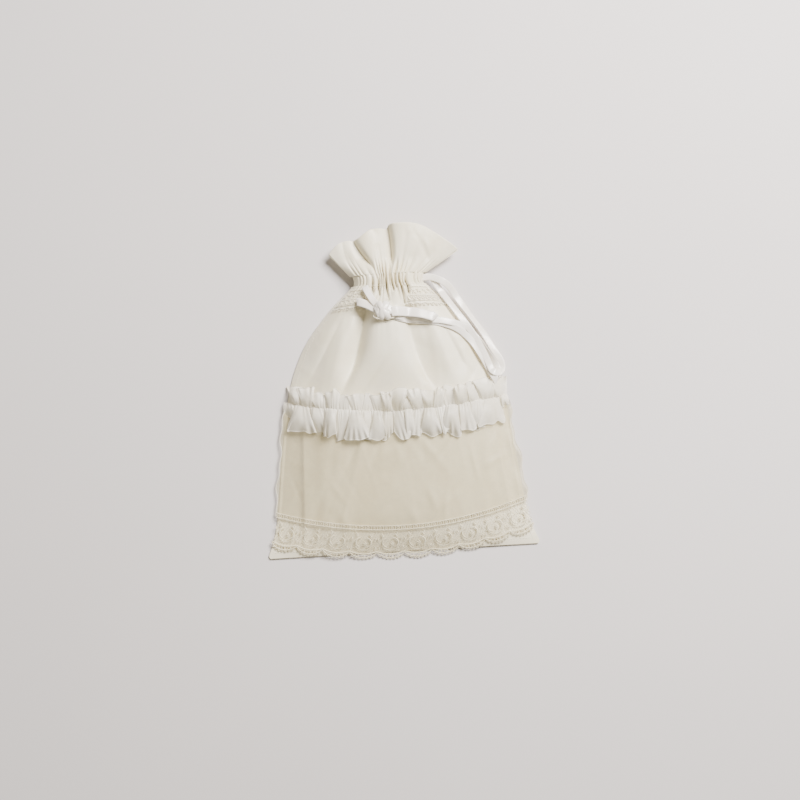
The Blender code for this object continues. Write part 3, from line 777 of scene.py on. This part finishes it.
def veilHeight(x, v):  # top of the overskirt; past the bag's edge it droops to the table
    reach = halfWidth(np.clip(v, 0, None))
    inside = np.clip(x, -reach + 2.5, reach - 2.5)
    folds = sharpFold(x + 83 - 0.04 * v, 1.6, 10) + 0.9 * sharpFold(x - 95 + 0.13 * v, 8, 1.8)
    folds += 0.5 * bump(x, reach - 3, 4) * (x > 0) * (1 + 0.5 * np.sin(v / 6.2))
    folds += 0.6 * bump(x, 70 + 0.05 * v, 6) + 0.45 * bump(x, -62 - 0.02 * v, 6)
    folds = overskirtSizes["foldHeight"] * folds * ease(6, 45, v) * (1 - 0.5 * ease(80, 110, v))
    folds += 0.35 * np.sin(x / 13 + v / 70)
    out = np.maximum(np.abs(x) - reach + 2.5, 0)
    top = frontHeight(inside, np.maximum(v, 0)) + overskirtSizes["lift"] + np.maximum(folds, -0.4)
    below = np.maximum(-v, 0)
    return np.maximum(top + 0.35 * out * (1 - out / 5) - 0.35 * below, 0.7)


def sideWave(v, side):  # how far the loose side edge of the overskirt sways out
    if side < 0:
        return 0.9 * np.sin(v / 7.5) + 0.7 * np.sin(v / 3.1 + 1)
    return 3.6 * bump(v, 46, 8) + 1.5 * bump(v, 70, 6) + 1.0 * np.sin(v / 6.2 + 2) + 0.8 * np.sin(v / 2.9)


def makeOverskirt():
    across, s = acrossGrid(overskirtSizes["columns"], overskirtSizes["rows"])
    across = np.sin(math.pi / 2 * across)
    edge = np.abs(across) ** 24 * (1 - ease(0.86, 1, s))
    x = across * hemHalf
    for _ in range(5):  # x and v each depend on the other, so they are settled in turns
        v = ruffleLine(x) - 0.6 + (headingLine(x) - 1.0 - ruffleLine(x) + 0.6) * s
        loose = np.where(across < 0, sideWave(v, -1), sideWave(v, 1)) * edge
        x = across * (halfWidth(v) + overskirtSizes["overhang"] + loose)
    points = pointsAt(x, v, veilHeight(x, v) + organzaWrinkles(x, v) * 0.8)
    bend = ("bag", "overskirt_flap", at(foldV + 8, 21.5), at(foldV - 8, 21.5))
    clothPiece(
        "overskirtVeil", points[::-1], veil, 0.0, "organza", None, "overskirt overskirt_yoke",
        bend=bend, held="hung", rests_on=["satinFront"],
    )
    hems = merge([sweep(points[:, side] + [0, 0, 0.1], overskirtSizes["hemRadius"], 5) for side in (0, -1)])
    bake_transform(workPiece("overskirtHems", hems, frillVeil, None))


laceSizes = {
    "motifs": 10, "pitch": 21.5, "height": 29.6, "netPitch": 2.4, "netRadius": 0.12,
    "ringAcross": 6.2, "ringDown": 4.6, "ringCentre": 14.6, "ringRadius": 0.6,
    "scallopTop": 22.6, "scallopDepth": 2.0, "edgeDrop": 3.2,
    "holeRadius": 1.35, "picotRadius": 0.7, "lift": 0.6,
}


def ontoBorder(work):  # lays (p along, q down from the heading's upper cord, h) on the overskirt's lower edge
    (p, q, h), quads = work[0].T, work[1]
    across = p / (laceSizes["motifs"] * laceSizes["pitch"] / 2)
    x = across * hemHalf
    for _ in range(5):
        top = headingLine(x) + 2.0
        v = top + (laceEdge(x) - top) * q / laceSizes["height"]
        x = across * (halfWidth(np.maximum(v, 0)) + 1.2)
    return pointsAt(x, v, veilHeight(x, v) + laceSizes["lift"] + h), quads


def scallop(p):  # 1 at the middle of a motif, 0 between two
    return np.abs(np.sin(math.pi * p / laceSizes["pitch"]))


def scallopLine(p):
    return laceSizes["scallopTop"] + laceSizes["scallopDepth"] * scallop(p)


def outerLine(p):  # the cord round the scallops' lower edge
    return laceSizes["scallopTop"] + (laceSizes["scallopDepth"] + laceSizes["edgeDrop"]) * scallop(p) ** 0.6


def hexNet(width, low, high, pitch):  # edges of a honeycomb, as pairs of (p, q)
    side = pitch / math.sqrt(3)
    edges = []
    for row in range(int((high - low) / (1.5 * side)) + 2):
        for column in range(int(2 * width / pitch) + 2):
            p = -width + pitch * (column + 0.5 * (row % 2))
            q = low + 1.5 * side * row
            down, right = (p, q + side), (p + pitch / 2, q - side / 2)
            edges += [((p, q), down), ((p, q), right), ((p, q), (p - pitch / 2, q - side / 2))]
    return np.array(edges)


def leaf(start, angle, length, radius, bend=0.25):  # padded satin-stitch leaf
    t = np.linspace(0, 1, 7)
    turn = angle + bend * (t - 0.5) * 2
    step = length / 6
    x = start[0] + np.concatenate([[0], np.cumsum(np.cos(turn[1:]) * step)])
    y = start[1] + np.concatenate([[0], np.cumsum(np.sin(turn[1:]) * step)])
    return sweep(pointsAt(x, y), radius * np.sqrt(np.sin(math.pi * np.clip(t, 0.03, 0.97))), 6, 0.7)


def ringMotif():  # one repeat of the border, its middle at (0, 0), down being +y
    parts = []
    for low, high in ((-68, 62), (118, 248)):
        turn = np.radians(np.linspace(low, high, 22))
        path = pointsAt(laceSizes["ringAcross"] * np.cos(turn), laceSizes["ringDown"] * np.sin(turn))
        taper = 0.45 + 0.55 * np.sin(np.linspace(0.1, math.pi - 0.1, 22))
        parts.append(sweep(path, laceSizes["ringRadius"] * taper, 7, 0.6))
    turn = np.radians(np.linspace(35, 145, 16))
    parts.append(sweep(pointsAt(7.6 * np.cos(turn), 6.6 * np.sin(turn)), 0.32, 5, 0.7))
    for angle in (150, 190, 230):
        parts.append(leaf((2.6, 1.2), math.radians(angle), 3.2, 0.42))
    for side in (-1, 1):
        parts.append(leaf((side * 6.6, -4.6), math.radians(-90 - side * 38), 3.6, 0.5, side * 0.3))
        parts.append(leaf((side * 5.0, -6.0), math.radians(-90 + side * 30), 3.2, 0.45, -side * 0.3))
        parts.append(leaf((side * 8.8, -1.6), math.radians(-90 + side * 20), 3.4, 0.42))
        parts.append(leaf((side * 9.0, 3.2), math.radians(90 - side * 25), 3.0, 0.4))
    return merge(parts)


def makeLaceBorder():
    sizes = laceSizes
    half = sizes["motifs"] * sizes["pitch"] / 2
    centres = (np.arange(sizes["motifs"]) - (sizes["motifs"] - 1) / 2) * sizes["pitch"]
    edges = hexNet(half, 3.0, 26.0, sizes["netPitch"])
    keep = (np.abs(edges[..., 0]) < half).all(1) & (edges[..., 1] < scallopLine(edges[..., 0]) + 0.1).all(1)
    keep &= (edges[..., 1] > 2.6).all(1)
    net = merge([
        sweep([[*a, 0.0], [(a[0] + b[0]) / 2, (a[1] + b[1]) / 2, 0.0], [*b, 0.0]], sizes["netRadius"], 4)
        for a, b in edges[keep]
    ])
    workPiece("laceNet", ontoBorder(net), netCord, "overskirt_flap", "lace_border")

    def beside(offsets):  # the same places beside the middle of each motif
        return np.concatenate([centres + offset for offset in offsets])

    p = np.linspace(-half, half, 1400)
    turns = np.random.default_rng(4).normal(0, 0.05, len(centres))
    holes = beside((-5.0, 0.0, 5.0))
    picots = beside((-8.2, -5.6, -2.8, 0.0, 2.8, 5.6, 8.2))
    motifs = merge([
        sweep(pointsAt(p, scallopLine(p), 0.1), 0.5, 6, 0.8),
        sweep(pointsAt(p, outerLine(p)), 0.4, 6),
        scatter(ringMotif(), pointsAt(centres, sizes["ringCentre"], 0.25), turns, laceCord, spread=0.03),
        ringsAt(
            pointsAt(holes, scallopLine(holes) + 1.75, 0.05), sizes["holeRadius"], 0.36, 14, laceCord, 0.12),
        ringsAt(pointsAt(picots, outerLine(picots) + 0.65), sizes["picotRadius"], 0.26, 10, laceCord, 0.2, 9),
    ])
    workPiece("laceMotifs", ontoBorder(motifs), laceCord, "overskirt_flap")

    bars = np.arange(-half + 1, half, 5.0)
    bar = sweep([[0, -1.6, 0], [0.2, 0, 0.1], [0, 1.6, 0]], [0.34, 0.26, 0.34], 5)
    heading = merge([
        *(
            sweep(pointsAt(p, q + 0.12 * np.sin(p * 1.9), 0.1), radius, 6, 0.8)
            for q, radius in ((0.2, 0.38), (3.6, 0.42))
        ),
        scatter(bar, pointsAt(bars, 1.9), 0.0, laceCord, spread=0.1),
        ringsAt(pointsAt(bars + 2.5, 1.9), 0.95, 0.28, 12, laceCord, 0.1, 5),
    ])
    workPiece("laceHeading", ontoBorder(heading), laceCord, "overskirt_flap", "lace_heading")


neckLaceSizes = {
    "low": 205.0, "high": 222.0, "sideInset": 3.0, "lift": 0.5, "hidden": 14.0, "reach": 52.0,
    "eyePitch": 4.4, "eyeRow": 5.8, "bloomPitch": 7.0, "bloomRow": 12.2, "picotPitch": 3.5,
}


def makeNeckLace():
    sizes = neckLaceSizes
    across, v = acrossGrid(150, 16, sizes["low"], sizes["high"])
    x = across * (halfWidth(v) - sizes["sideInset"])
    clothPiece(
        "neckLaceNet", pointsAt(x, v, frontHeight(x, v) + sizes["lift"]), netVeil, 0.0,
        "lace", "bag", "neck_lace", held="gathered", rests_on=["satinFront"],
    )

    def lost(q):  # in the middle the lace is lost in the gathers, on a slant
        return sizes["hidden"] + 0.75 * q

    def spotsAt(q, start, pitch):
        spots = np.arange(start - sizes["reach"], sizes["reach"], pitch)
        return spots[np.abs(spots) > lost(q)]

    flat = []
    for side in (-1, 1):
        p = side * np.linspace(lost(0), sizes["reach"], 400)
        flat.append(sweep(pointsAt(p, 0.4 + 0.9 * np.abs(np.sin(math.pi * p / 7.0))), 0.34, 5))
        for q in (3.4, 8.2, sizes["high"] - sizes["low"] - 1.0):
            flat.append(sweep(pointsAt(side * np.linspace(lost(q), sizes["reach"], 400), q), 0.28, 5))
    eyes = spotsAt(sizes["eyeRow"], 2, sizes["eyePitch"])
    blooms = spotsAt(sizes["bloomRow"], 3, sizes["bloomPitch"])
    picots = spotsAt(0.0, 1.7, sizes["picotPitch"])
    petals = merge([
        leaf((0.5 * math.cos(a), 0.5 * math.sin(a)), a, 2.3, 0.5, 0) for a in np.radians(range(0, 360, 72))
    ])
    flat += [
        ringsAt(pointsAt(eyes, sizes["eyeRow"]), 1.5, 0.36, 14, neckCord, 0.15, 2),
        scatter(petals, pointsAt(blooms, sizes["bloomRow"], 0.1), blooms, neckCord, spread=0.2, seed=3),
        ringsAt(pointsAt(picots, -0.2), 0.9, 0.3, 10, neckCord, 0.2, 4),
    ]
    points, quads = merge(flat)
    v = sizes["low"] + points[:, 1]
    x = points[:, 0] / sizes["reach"] * (halfWidth(v) - sizes["sideInset"])
    laid = drape(pointsAt(x, v, points[:, 2]), sizes["lift"] + 0.35)
    workPiece("neckLaceCords", (laid, quads), neckCord, "bag")


ribbonSizes = {
    "width": 6.0, "thickness": 0.18, "rows": 9, "step": 1.2, "crown": 0.15,
    "backRunZ": 7.4, "frontRunZ": 10.2,
}
tailInner = (
    (1, 196), (12, 193), (28, 191), (44, 188), (57, 182), (67, 172), (74, 160), (80, 149), (86, 137.5),
)
tailOuter = (
    (1, 197), (12, 194), (28, 192), (46, 190), (62, 184), (73, 173), (80, 162), (86, 152), (90, 143),
)
loopLeft = ((-11, 202), (-18, 206), (-24, 209), (-29, 210))
loopRight = ((1, 199), (12, 199), (25, 197), (38, 193))
strandLeft = ((-20, 223), (-18, 218), (-15, 212), (-11.5, 206.5))
pullRoute = (
    (41, 221), (49, 208), (59, 193), (69, 177), (76, 163), (80, 153), (83, 146.5), (88, 145), (91, 149),
    (90, 156), (84, 167), (77, 180), (68, 194), (58, 209), (49, 222),
)


def smoothRoute(points, step):  # places a step apart on a smooth curve through the points
    points = np.asarray(points, float)
    padded = np.concatenate([2 * points[:1] - points[1:2], points, 2 * points[-1:] - points[-2:-1]])
    s = np.linspace(0, 1, 30, endpoint=False)[:, None]
    runs = []
    for p, q, r, t in zip(padded, padded[1:], padded[2:], padded[3:]):
        bent = (2 * p - 5 * q + 4 * r - t) * s**2 + (3 * q - p - 3 * r + t) * s**3
        runs.append(0.5 * (2 * q + (r - p) * s + bent))
    dense = np.concatenate([*runs, points[-1:]])
    run = runAlong(dense)
    even = np.linspace(0, run[-1], max(8, int(run[-1] / step)))
    return np.stack([np.interp(even, run, dense[:, i]) for i in range(points.shape[1])], -1)


def lieOn(route, base, width):  # heights along the route: a crisp ribbon bridges small hollows
    heading = np.gradient(route[:, :2], axis=0)
    heading /= np.linalg.norm(heading, axis=1)[:, None]
    side = np.stack([heading[:, 1], -heading[:, 0]], -1)
    rows = []
    for share in (-0.5, -0.25, 0, 0.25, 0.5):
        x, v = (route[:, :2] + share * width * side).T
        past = ruffleLine(x) + ruffleSizes["upper"] + 8 - v
        rows.append(frontHeight(x, v) + 5.4 * ease(0, 9, past) * (1 - ease(0, 3, np.abs(x) - halfWidth(v))))
    high = np.max(rows, axis=0)
    kernel = np.hanning(13)[1:-1]
    padded = np.pad(high, 5, mode="edge")
    return np.maximum(np.convolve(padded, kernel / kernel.sum(), "valid"), high - 0.15) + base


def ribbonPiece(name, path, width, tilt=0.0, endCut=0.0, crown=None):  # tilt (radians) turns it on its line
    path = np.asarray(path, float)
    heading, side, up = axesAlong(path)
    tilt = np.broadcast_to(np.asarray(tilt, float), len(path))[:, None, None]
    share = np.linspace(-1, 1, ribbonSizes["rows"])[None, :, None]
    crown = ribbonSizes["crown"] if crown is None else crown
    across = np.cos(tilt) * side[:, None] + np.sin(tilt) * up[:, None]
    out = -np.sin(tilt) * side[:, None] + np.cos(tilt) * up[:, None]
    points = path[:, None] + share * width / 2 * across + crown * (1 - share ** 2) * out
    slant = endCut * share * np.linspace(0, 1, len(path))[:, None, None] ** 12
    points = points + slant * heading[:, None]
    return gridPiece(name, points[:, ::-1], ribbon, ribbonSizes["thickness"])


def makeTails():
    width = ribbonSizes["width"]
    for name, places, base, node, turn in (
        ("tailInner", tailInner, 0.7, "bow_tail_inner", 0.5),
        ("tailOuter", tailOuter, 1.9, "bow_tail_outer", -0.65),
    ):
        route = smoothRoute(places, ribbonSizes["step"])
        t = np.linspace(0, 1, len(route))
        tilt = turn * (0.25 * np.sin(t * 11) + bump(t, 0.78, 0.13)) * ease(0, 0.1, t)
        rise = 0.5 * np.sin(t * 9) ** 2 + width / 2 * np.abs(np.sin(tilt))
        path = pointsAt(*route.T, lieOn(route, base, width) + rise)
        tail = ribbonPiece(name, path, width - 0.4, tilt, endCut=2.2)
        finishPiece(tail, "bag", node)


def makePullRibbon():  # out of the casing's slit, round the loop and back in
    centreV = (bodyLength + 0.3 + casingTop) / 2
    lowZ, highZ = ribbonSizes["backRunZ"], ribbonSizes["frontRunZ"]
    inside, slit = (28.0, centreV), (36.3, centreV)
    route = smoothRoute([inside, slit, *pullRoute, slit, inside], ribbonSizes["step"])
    run = runAlong(route)
    first, last = ease(7, 21, run), ease(7, 21, run[-1] - run)
    z = lowZ + (lieOn(route, 4.4, ribbonSizes["width"]) - lowZ) * first
    path = pointsAt(*route.T, highZ + (z - highZ) * last)
    t = run / run[-1]
    tilt = (0.2 * np.sin(t * 17) - 0.75 * bump(t, 0.76, 0.1) + 0.5 * bump(t, 0.2, 0.08)) * first * last
    loop = ribbonPiece("pullLoop", path, ribbonSizes["width"] - 0.4, tilt)
    finishPiece(loop, "pull_ribbon", "pull_loop")
    x = np.linspace(-26, 28.5, 90)
    for name, node, height, sag in (
        ("pullRunFront", "pull_run_front", highZ, 0.9), ("pullRunBack", "pull_run_back", lowZ, 0.0),
    ):
        path = pointsAt(x, centreV, height + 0.15 * np.sin(x / 4) - sag * (1 - ease(16, 28, x)))
        finishPiece(ribbonPiece(name, path, 5.6), "pull_ribbon", node)


def makeBow():
    for name, places, base, width, lean, hair, node in (
        ("loopRight", loopRight, 4.0, 8.6, -0.26, (0.0, 0.001), "bow_loop_right"),
        ("loopLeft", loopLeft, 2.8, 7.4, 0.3, (0.001, 0.0), "bow_loop_left"),
    ):
        route = smoothRoute(places, 1.0)
        t = np.linspace(0, 1, len(route))
        low = lieOn(route, base, width)
        path = np.concatenate([  # out along the satin, then back above it
            pointsAt(*route.T, low - 0.4 * np.sin(math.pi * t)),
            pointsAt(*route[::-1].T, low[::-1] + 0.9 + 2.0 * np.sin(math.pi * t) ** 0.8)[1:],
        ])
        for _ in range(2):
            for i in range(3):
                path[2:-2, i] = np.convolve(path[:, i], np.ones(5) / 5, "valid")
        path[len(route), :2] += hair  # at its tip the ribbon stands upright: this settles which way it faces
        t = np.linspace(0, 1, len(path))
        tilt = 0.12 * np.sin(9 * t) + lean * bump(t, 0.76, 0.2)
        finishPiece(ribbonPiece(name, path, width - 0.6, tilt), "bag", node)
    route = smoothRoute(strandLeft, 1.0)
    t = np.linspace(0, 1, len(route))
    rise = 0.8 * np.sin(math.pi * t) - 1.5 * (1 - ease(0, 0.3, t))
    path = pointsAt(*route.T, lieOn(route, 5.0, 6.0) + rise)
    strand = ribbonPiece("drawstringLeft", path, 5.6, 0.45 * np.sin(math.pi * t) - 0.1)
    finishPiece(strand, "bag", "drawstring_left")


knotSizes = {
    "centre": (-5.5, 200.5), "half": (7.4, 6.0, 3.7), "lift": 2.8, "power": 0.75, "columns": 72, "rows": 40,
    "wrapRise": 3.9, "wrapCrown": 0.7, "laceLoops": 34,
}


def makeKnot():  # a soft lump wound over by two turns of ribbon, with loops of lace behind
    cx, cv = knotSizes["centre"]
    cz = float(frontHeight(cx, cv)) + knotSizes["lift"]
    turn, tip = np.meshgrid(
        np.linspace(0, 2 * math.pi, knotSizes["columns"]),
        np.linspace(-math.pi / 2, math.pi / 2, knotSizes["rows"]),
    )

    def squared(wave):  # fuller than a plain ellipse
        return np.sign(wave) * np.abs(wave) ** knotSizes["power"]

    wound = 1 + 0.07 * np.sin(3 * turn + 4 * tip) + 0.04 * np.sin(7 * turn - 5 * tip) * np.cos(tip)
    a, b, c = knotSizes["half"]
    x = cx + a * wound * np.cos(tip) ** knotSizes["power"] * squared(np.cos(turn))
    v = cv + b * wound * np.cos(tip) ** knotSizes["power"] * squared(np.sin(turn))
    knot = gridPiece("knotCore", pointsAt(x, v, cz + c * wound * squared(np.sin(tip))), ribbon)
    finishPiece(knot, "bag", "bow_knot")
    t = np.linspace(-0.75 * math.pi, 0.75 * math.pi, 48) + math.pi / 2
    for name, angle, width, reach in (
        ("knotWrapFirst", 1.15, 5.4, 7.4), ("knotWrapSecond", 2.1, 4.6, 8.0),
    ):
        along = reach * np.cos(t)
        z = cz + knotSizes["wrapRise"] * np.sin(t)
        path = pointsAt(cx + along * math.cos(angle), cv + along * math.sin(angle), z)
        wrap = ribbonPiece(name, path[::-1], width, 0.15 * np.sin(3 * t), crown=knotSizes["wrapCrown"])
        finishPiece(wrap, "bag")
    rng = np.random.default_rng(6)
    loops = []
    for _ in range(knotSizes["laceLoops"]):
        angle = rng.uniform(-2.7, 0.9)
        away = rng.uniform(3.5, 8.5)
        place = np.array([cx + 1.5 + away * math.cos(angle), cv - 1 + 0.8 * away * math.sin(angle), cz - 1.5])
        place[2] += rng.uniform(-1, 1.4)
        ring = circle(rng.uniform(1.3, 3.0), 14)
        lean = rng.uniform(-0.9, 0.9)
        ring = pointsAt(ring[:, 0], ring[:, 1] * math.cos(lean), ring[:, 1] * math.sin(lean))
        loops.append(sweep(ring + place, rng.uniform(0.35, 0.5), 5, closed=True))
    points, quads = merge(loops)
    points[:, 2] = np.maximum(points[:, 2], frontHeight(points[:, 0], points[:, 1]) + 0.6)
    workPiece("knotLace", (points, quads), neckCord, "bag")


stitchSizes = {"neckPitch": 2.2, "neckLength": 1.6, "pitch": 2.6, "length": 1.9, "radius": 0.17}


def makeStitches():
    sizes = stitchSizes
    rows = []
    x = np.linspace(-neckHalf + 1.5, neckHalf - 1.5, 200)
    for v in (bodyLength - 0.6, casingTop + 0.2):
        flat, quads = stitchLine(x, v + 0 * x, sizes["neckPitch"], sizes["neckLength"], sizes["radius"])
        z = neckProfile(flat[:, 0] / neckHalf, flat[:, 1]) + 0.15 + flat[:, 2]
        rows.append((pointsAt(flat[:, 0], flat[:, 1], z), quads))
    x = np.linspace(-hemHalf + 6, hemHalf - 6, 200)
    v = np.linspace(6, bodyLength - 14, 220)
    for line in ((x, 5.2 + 0 * x), *((side * (halfWidth(v) - 4.6), v) for side in (-1, 1))):
        flat, quads = stitchLine(*line, sizes["pitch"], sizes["length"], sizes["radius"])
        rows.append((drape(flat, 0.0), quads))
    workPiece("stitches", merge(rows), thread, "bag")


makeRuffle()
print("ruffle made")
makeOverskirt()
makeLaceBorder()
makeNeckLace()
print("overskirt and lace made")
makeTails()
makePullRibbon()
makeBow()
makeKnot()
makeStitches()
print("ribbons and stitches made")


studio = {
    "viewCentre": (3.8, 127.0), "viewWidth": 672.0, "distance": 1800.0, "elevation": 86.0, "roll": 3.4,
    "keyPower": 84.0, "fillPower": 1.0, "worldStrength": 0.33, "glow": "F6ECD2", "backdrop": "E4E1DF",
    "floorHalf": 9.0, "sensor": 36,
}


def floorPaper():  # pale seamless paper that runs into the lit backdrop far from the bag
    material = newCloth("seamless_paper", "D9D5D4", "DCD8D7", 3, {"Roughness": 0.9})
    tree = material.node_tree
    place = addNode(tree, "ShaderNodeTexCoord")
    away = addNode(tree, "ShaderNodeVectorMath", {0: place.outputs["Object"]}, {"operation": "LENGTH"})
    far = addNode(
        tree, "ShaderNodeMapRange", {"Value": away.outputs["Value"], "From Min": 0.55, "From Max": 2.0},
        {"interpolation_type": "SMOOTHSTEP"},
    )
    lit = addNode(tree, "ShaderNodeEmission", {"Color": hexColour(studio["backdrop"]), "Strength": 1.0})
    mixed = addNode(tree, "ShaderNodeMixShader", {
        0: far.outputs["Result"], 1: tree.nodes["Principled BSDF"].outputs["BSDF"],
        2: lit.outputs["Emission"],
    })
    tree.links.new(mixed.outputs["Shader"], tree.nodes["Material Output"].inputs["Surface"])
    material.cycles.emission_sampling = "NONE"
    return material


def makeStudio():
    half = studio["floorHalf"]
    corners = [(-half, -half, 0), (half, -half, 0), (half, half, 0), (-half, half, 0)]
    meshPiece("floor", corners, [(0, 1, 2, 3)], floorPaper())
    camera = bpy.data.objects.new("camera", bpy.data.cameras.new("camera"))
    camera.data.sensor_width = studio["sensor"]
    camera.data.lens = studio["distance"] * studio["sensor"] / studio["viewWidth"]
    tilt = math.radians(studio["elevation"])
    target = Vector(toWorld((*studio["viewCentre"], 8.0)))
    camera.location = target + studio["distance"] * mm * Vector((0, -math.cos(tilt), math.sin(tilt)))
    camera.rotation_euler = (target - camera.location).to_track_quat("-Z", "Y").to_euler()
    camera.rotation_euler.rotate_axis("Z", -math.radians(studio["roll"]))
    bpy.context.scene.collection.objects.link(camera)
    bpy.context.scene.camera = camera
    for name, place, size, power in (
        ("keyLight", (0.75, 0.75, 1.15), 0.7, studio["keyPower"]),
        ("fillLight", (-0.9, -0.2, 1.2), 1.2, studio["fillPower"]),
    ):
        light = bpy.data.lights.new(name, "AREA")
        light.size = size
        light.energy = power
        light.color = hexColour("FFFAF8")[:3]
        lamp = bpy.data.objects.new(name, light)
        lamp.location = place
        lamp.rotation_euler = (-Vector(place)).to_track_quat("-Z", "Y").to_euler()
        bpy.context.scene.collection.objects.link(lamp)
    world = bpy.data.worlds.new("studio")
    world.use_nodes = True
    tree = world.node_tree
    glow = tree.nodes["Background"]
    glow.inputs["Color"].default_value = hexColour(studio["glow"])
    glow.inputs["Strength"].default_value = studio["worldStrength"]
    ray = addNode(tree, "ShaderNodeLightPath")
    pale = hexColour(studio["backdrop"])
    backdrop = addNode(tree, "ShaderNodeBackground", {"Color": pale, "Strength": 1.0})
    mixed = addNode(tree, "ShaderNodeMixShader", {
        0: ray.outputs["Is Camera Ray"], 1: glow.outputs["Background"], 2: backdrop.outputs["Background"],
    })
    tree.links.new(mixed.outputs["Shader"], tree.nodes["World Output"].inputs["Surface"])
    bpy.context.scene.world = world


makeStudio()
print("studio made")
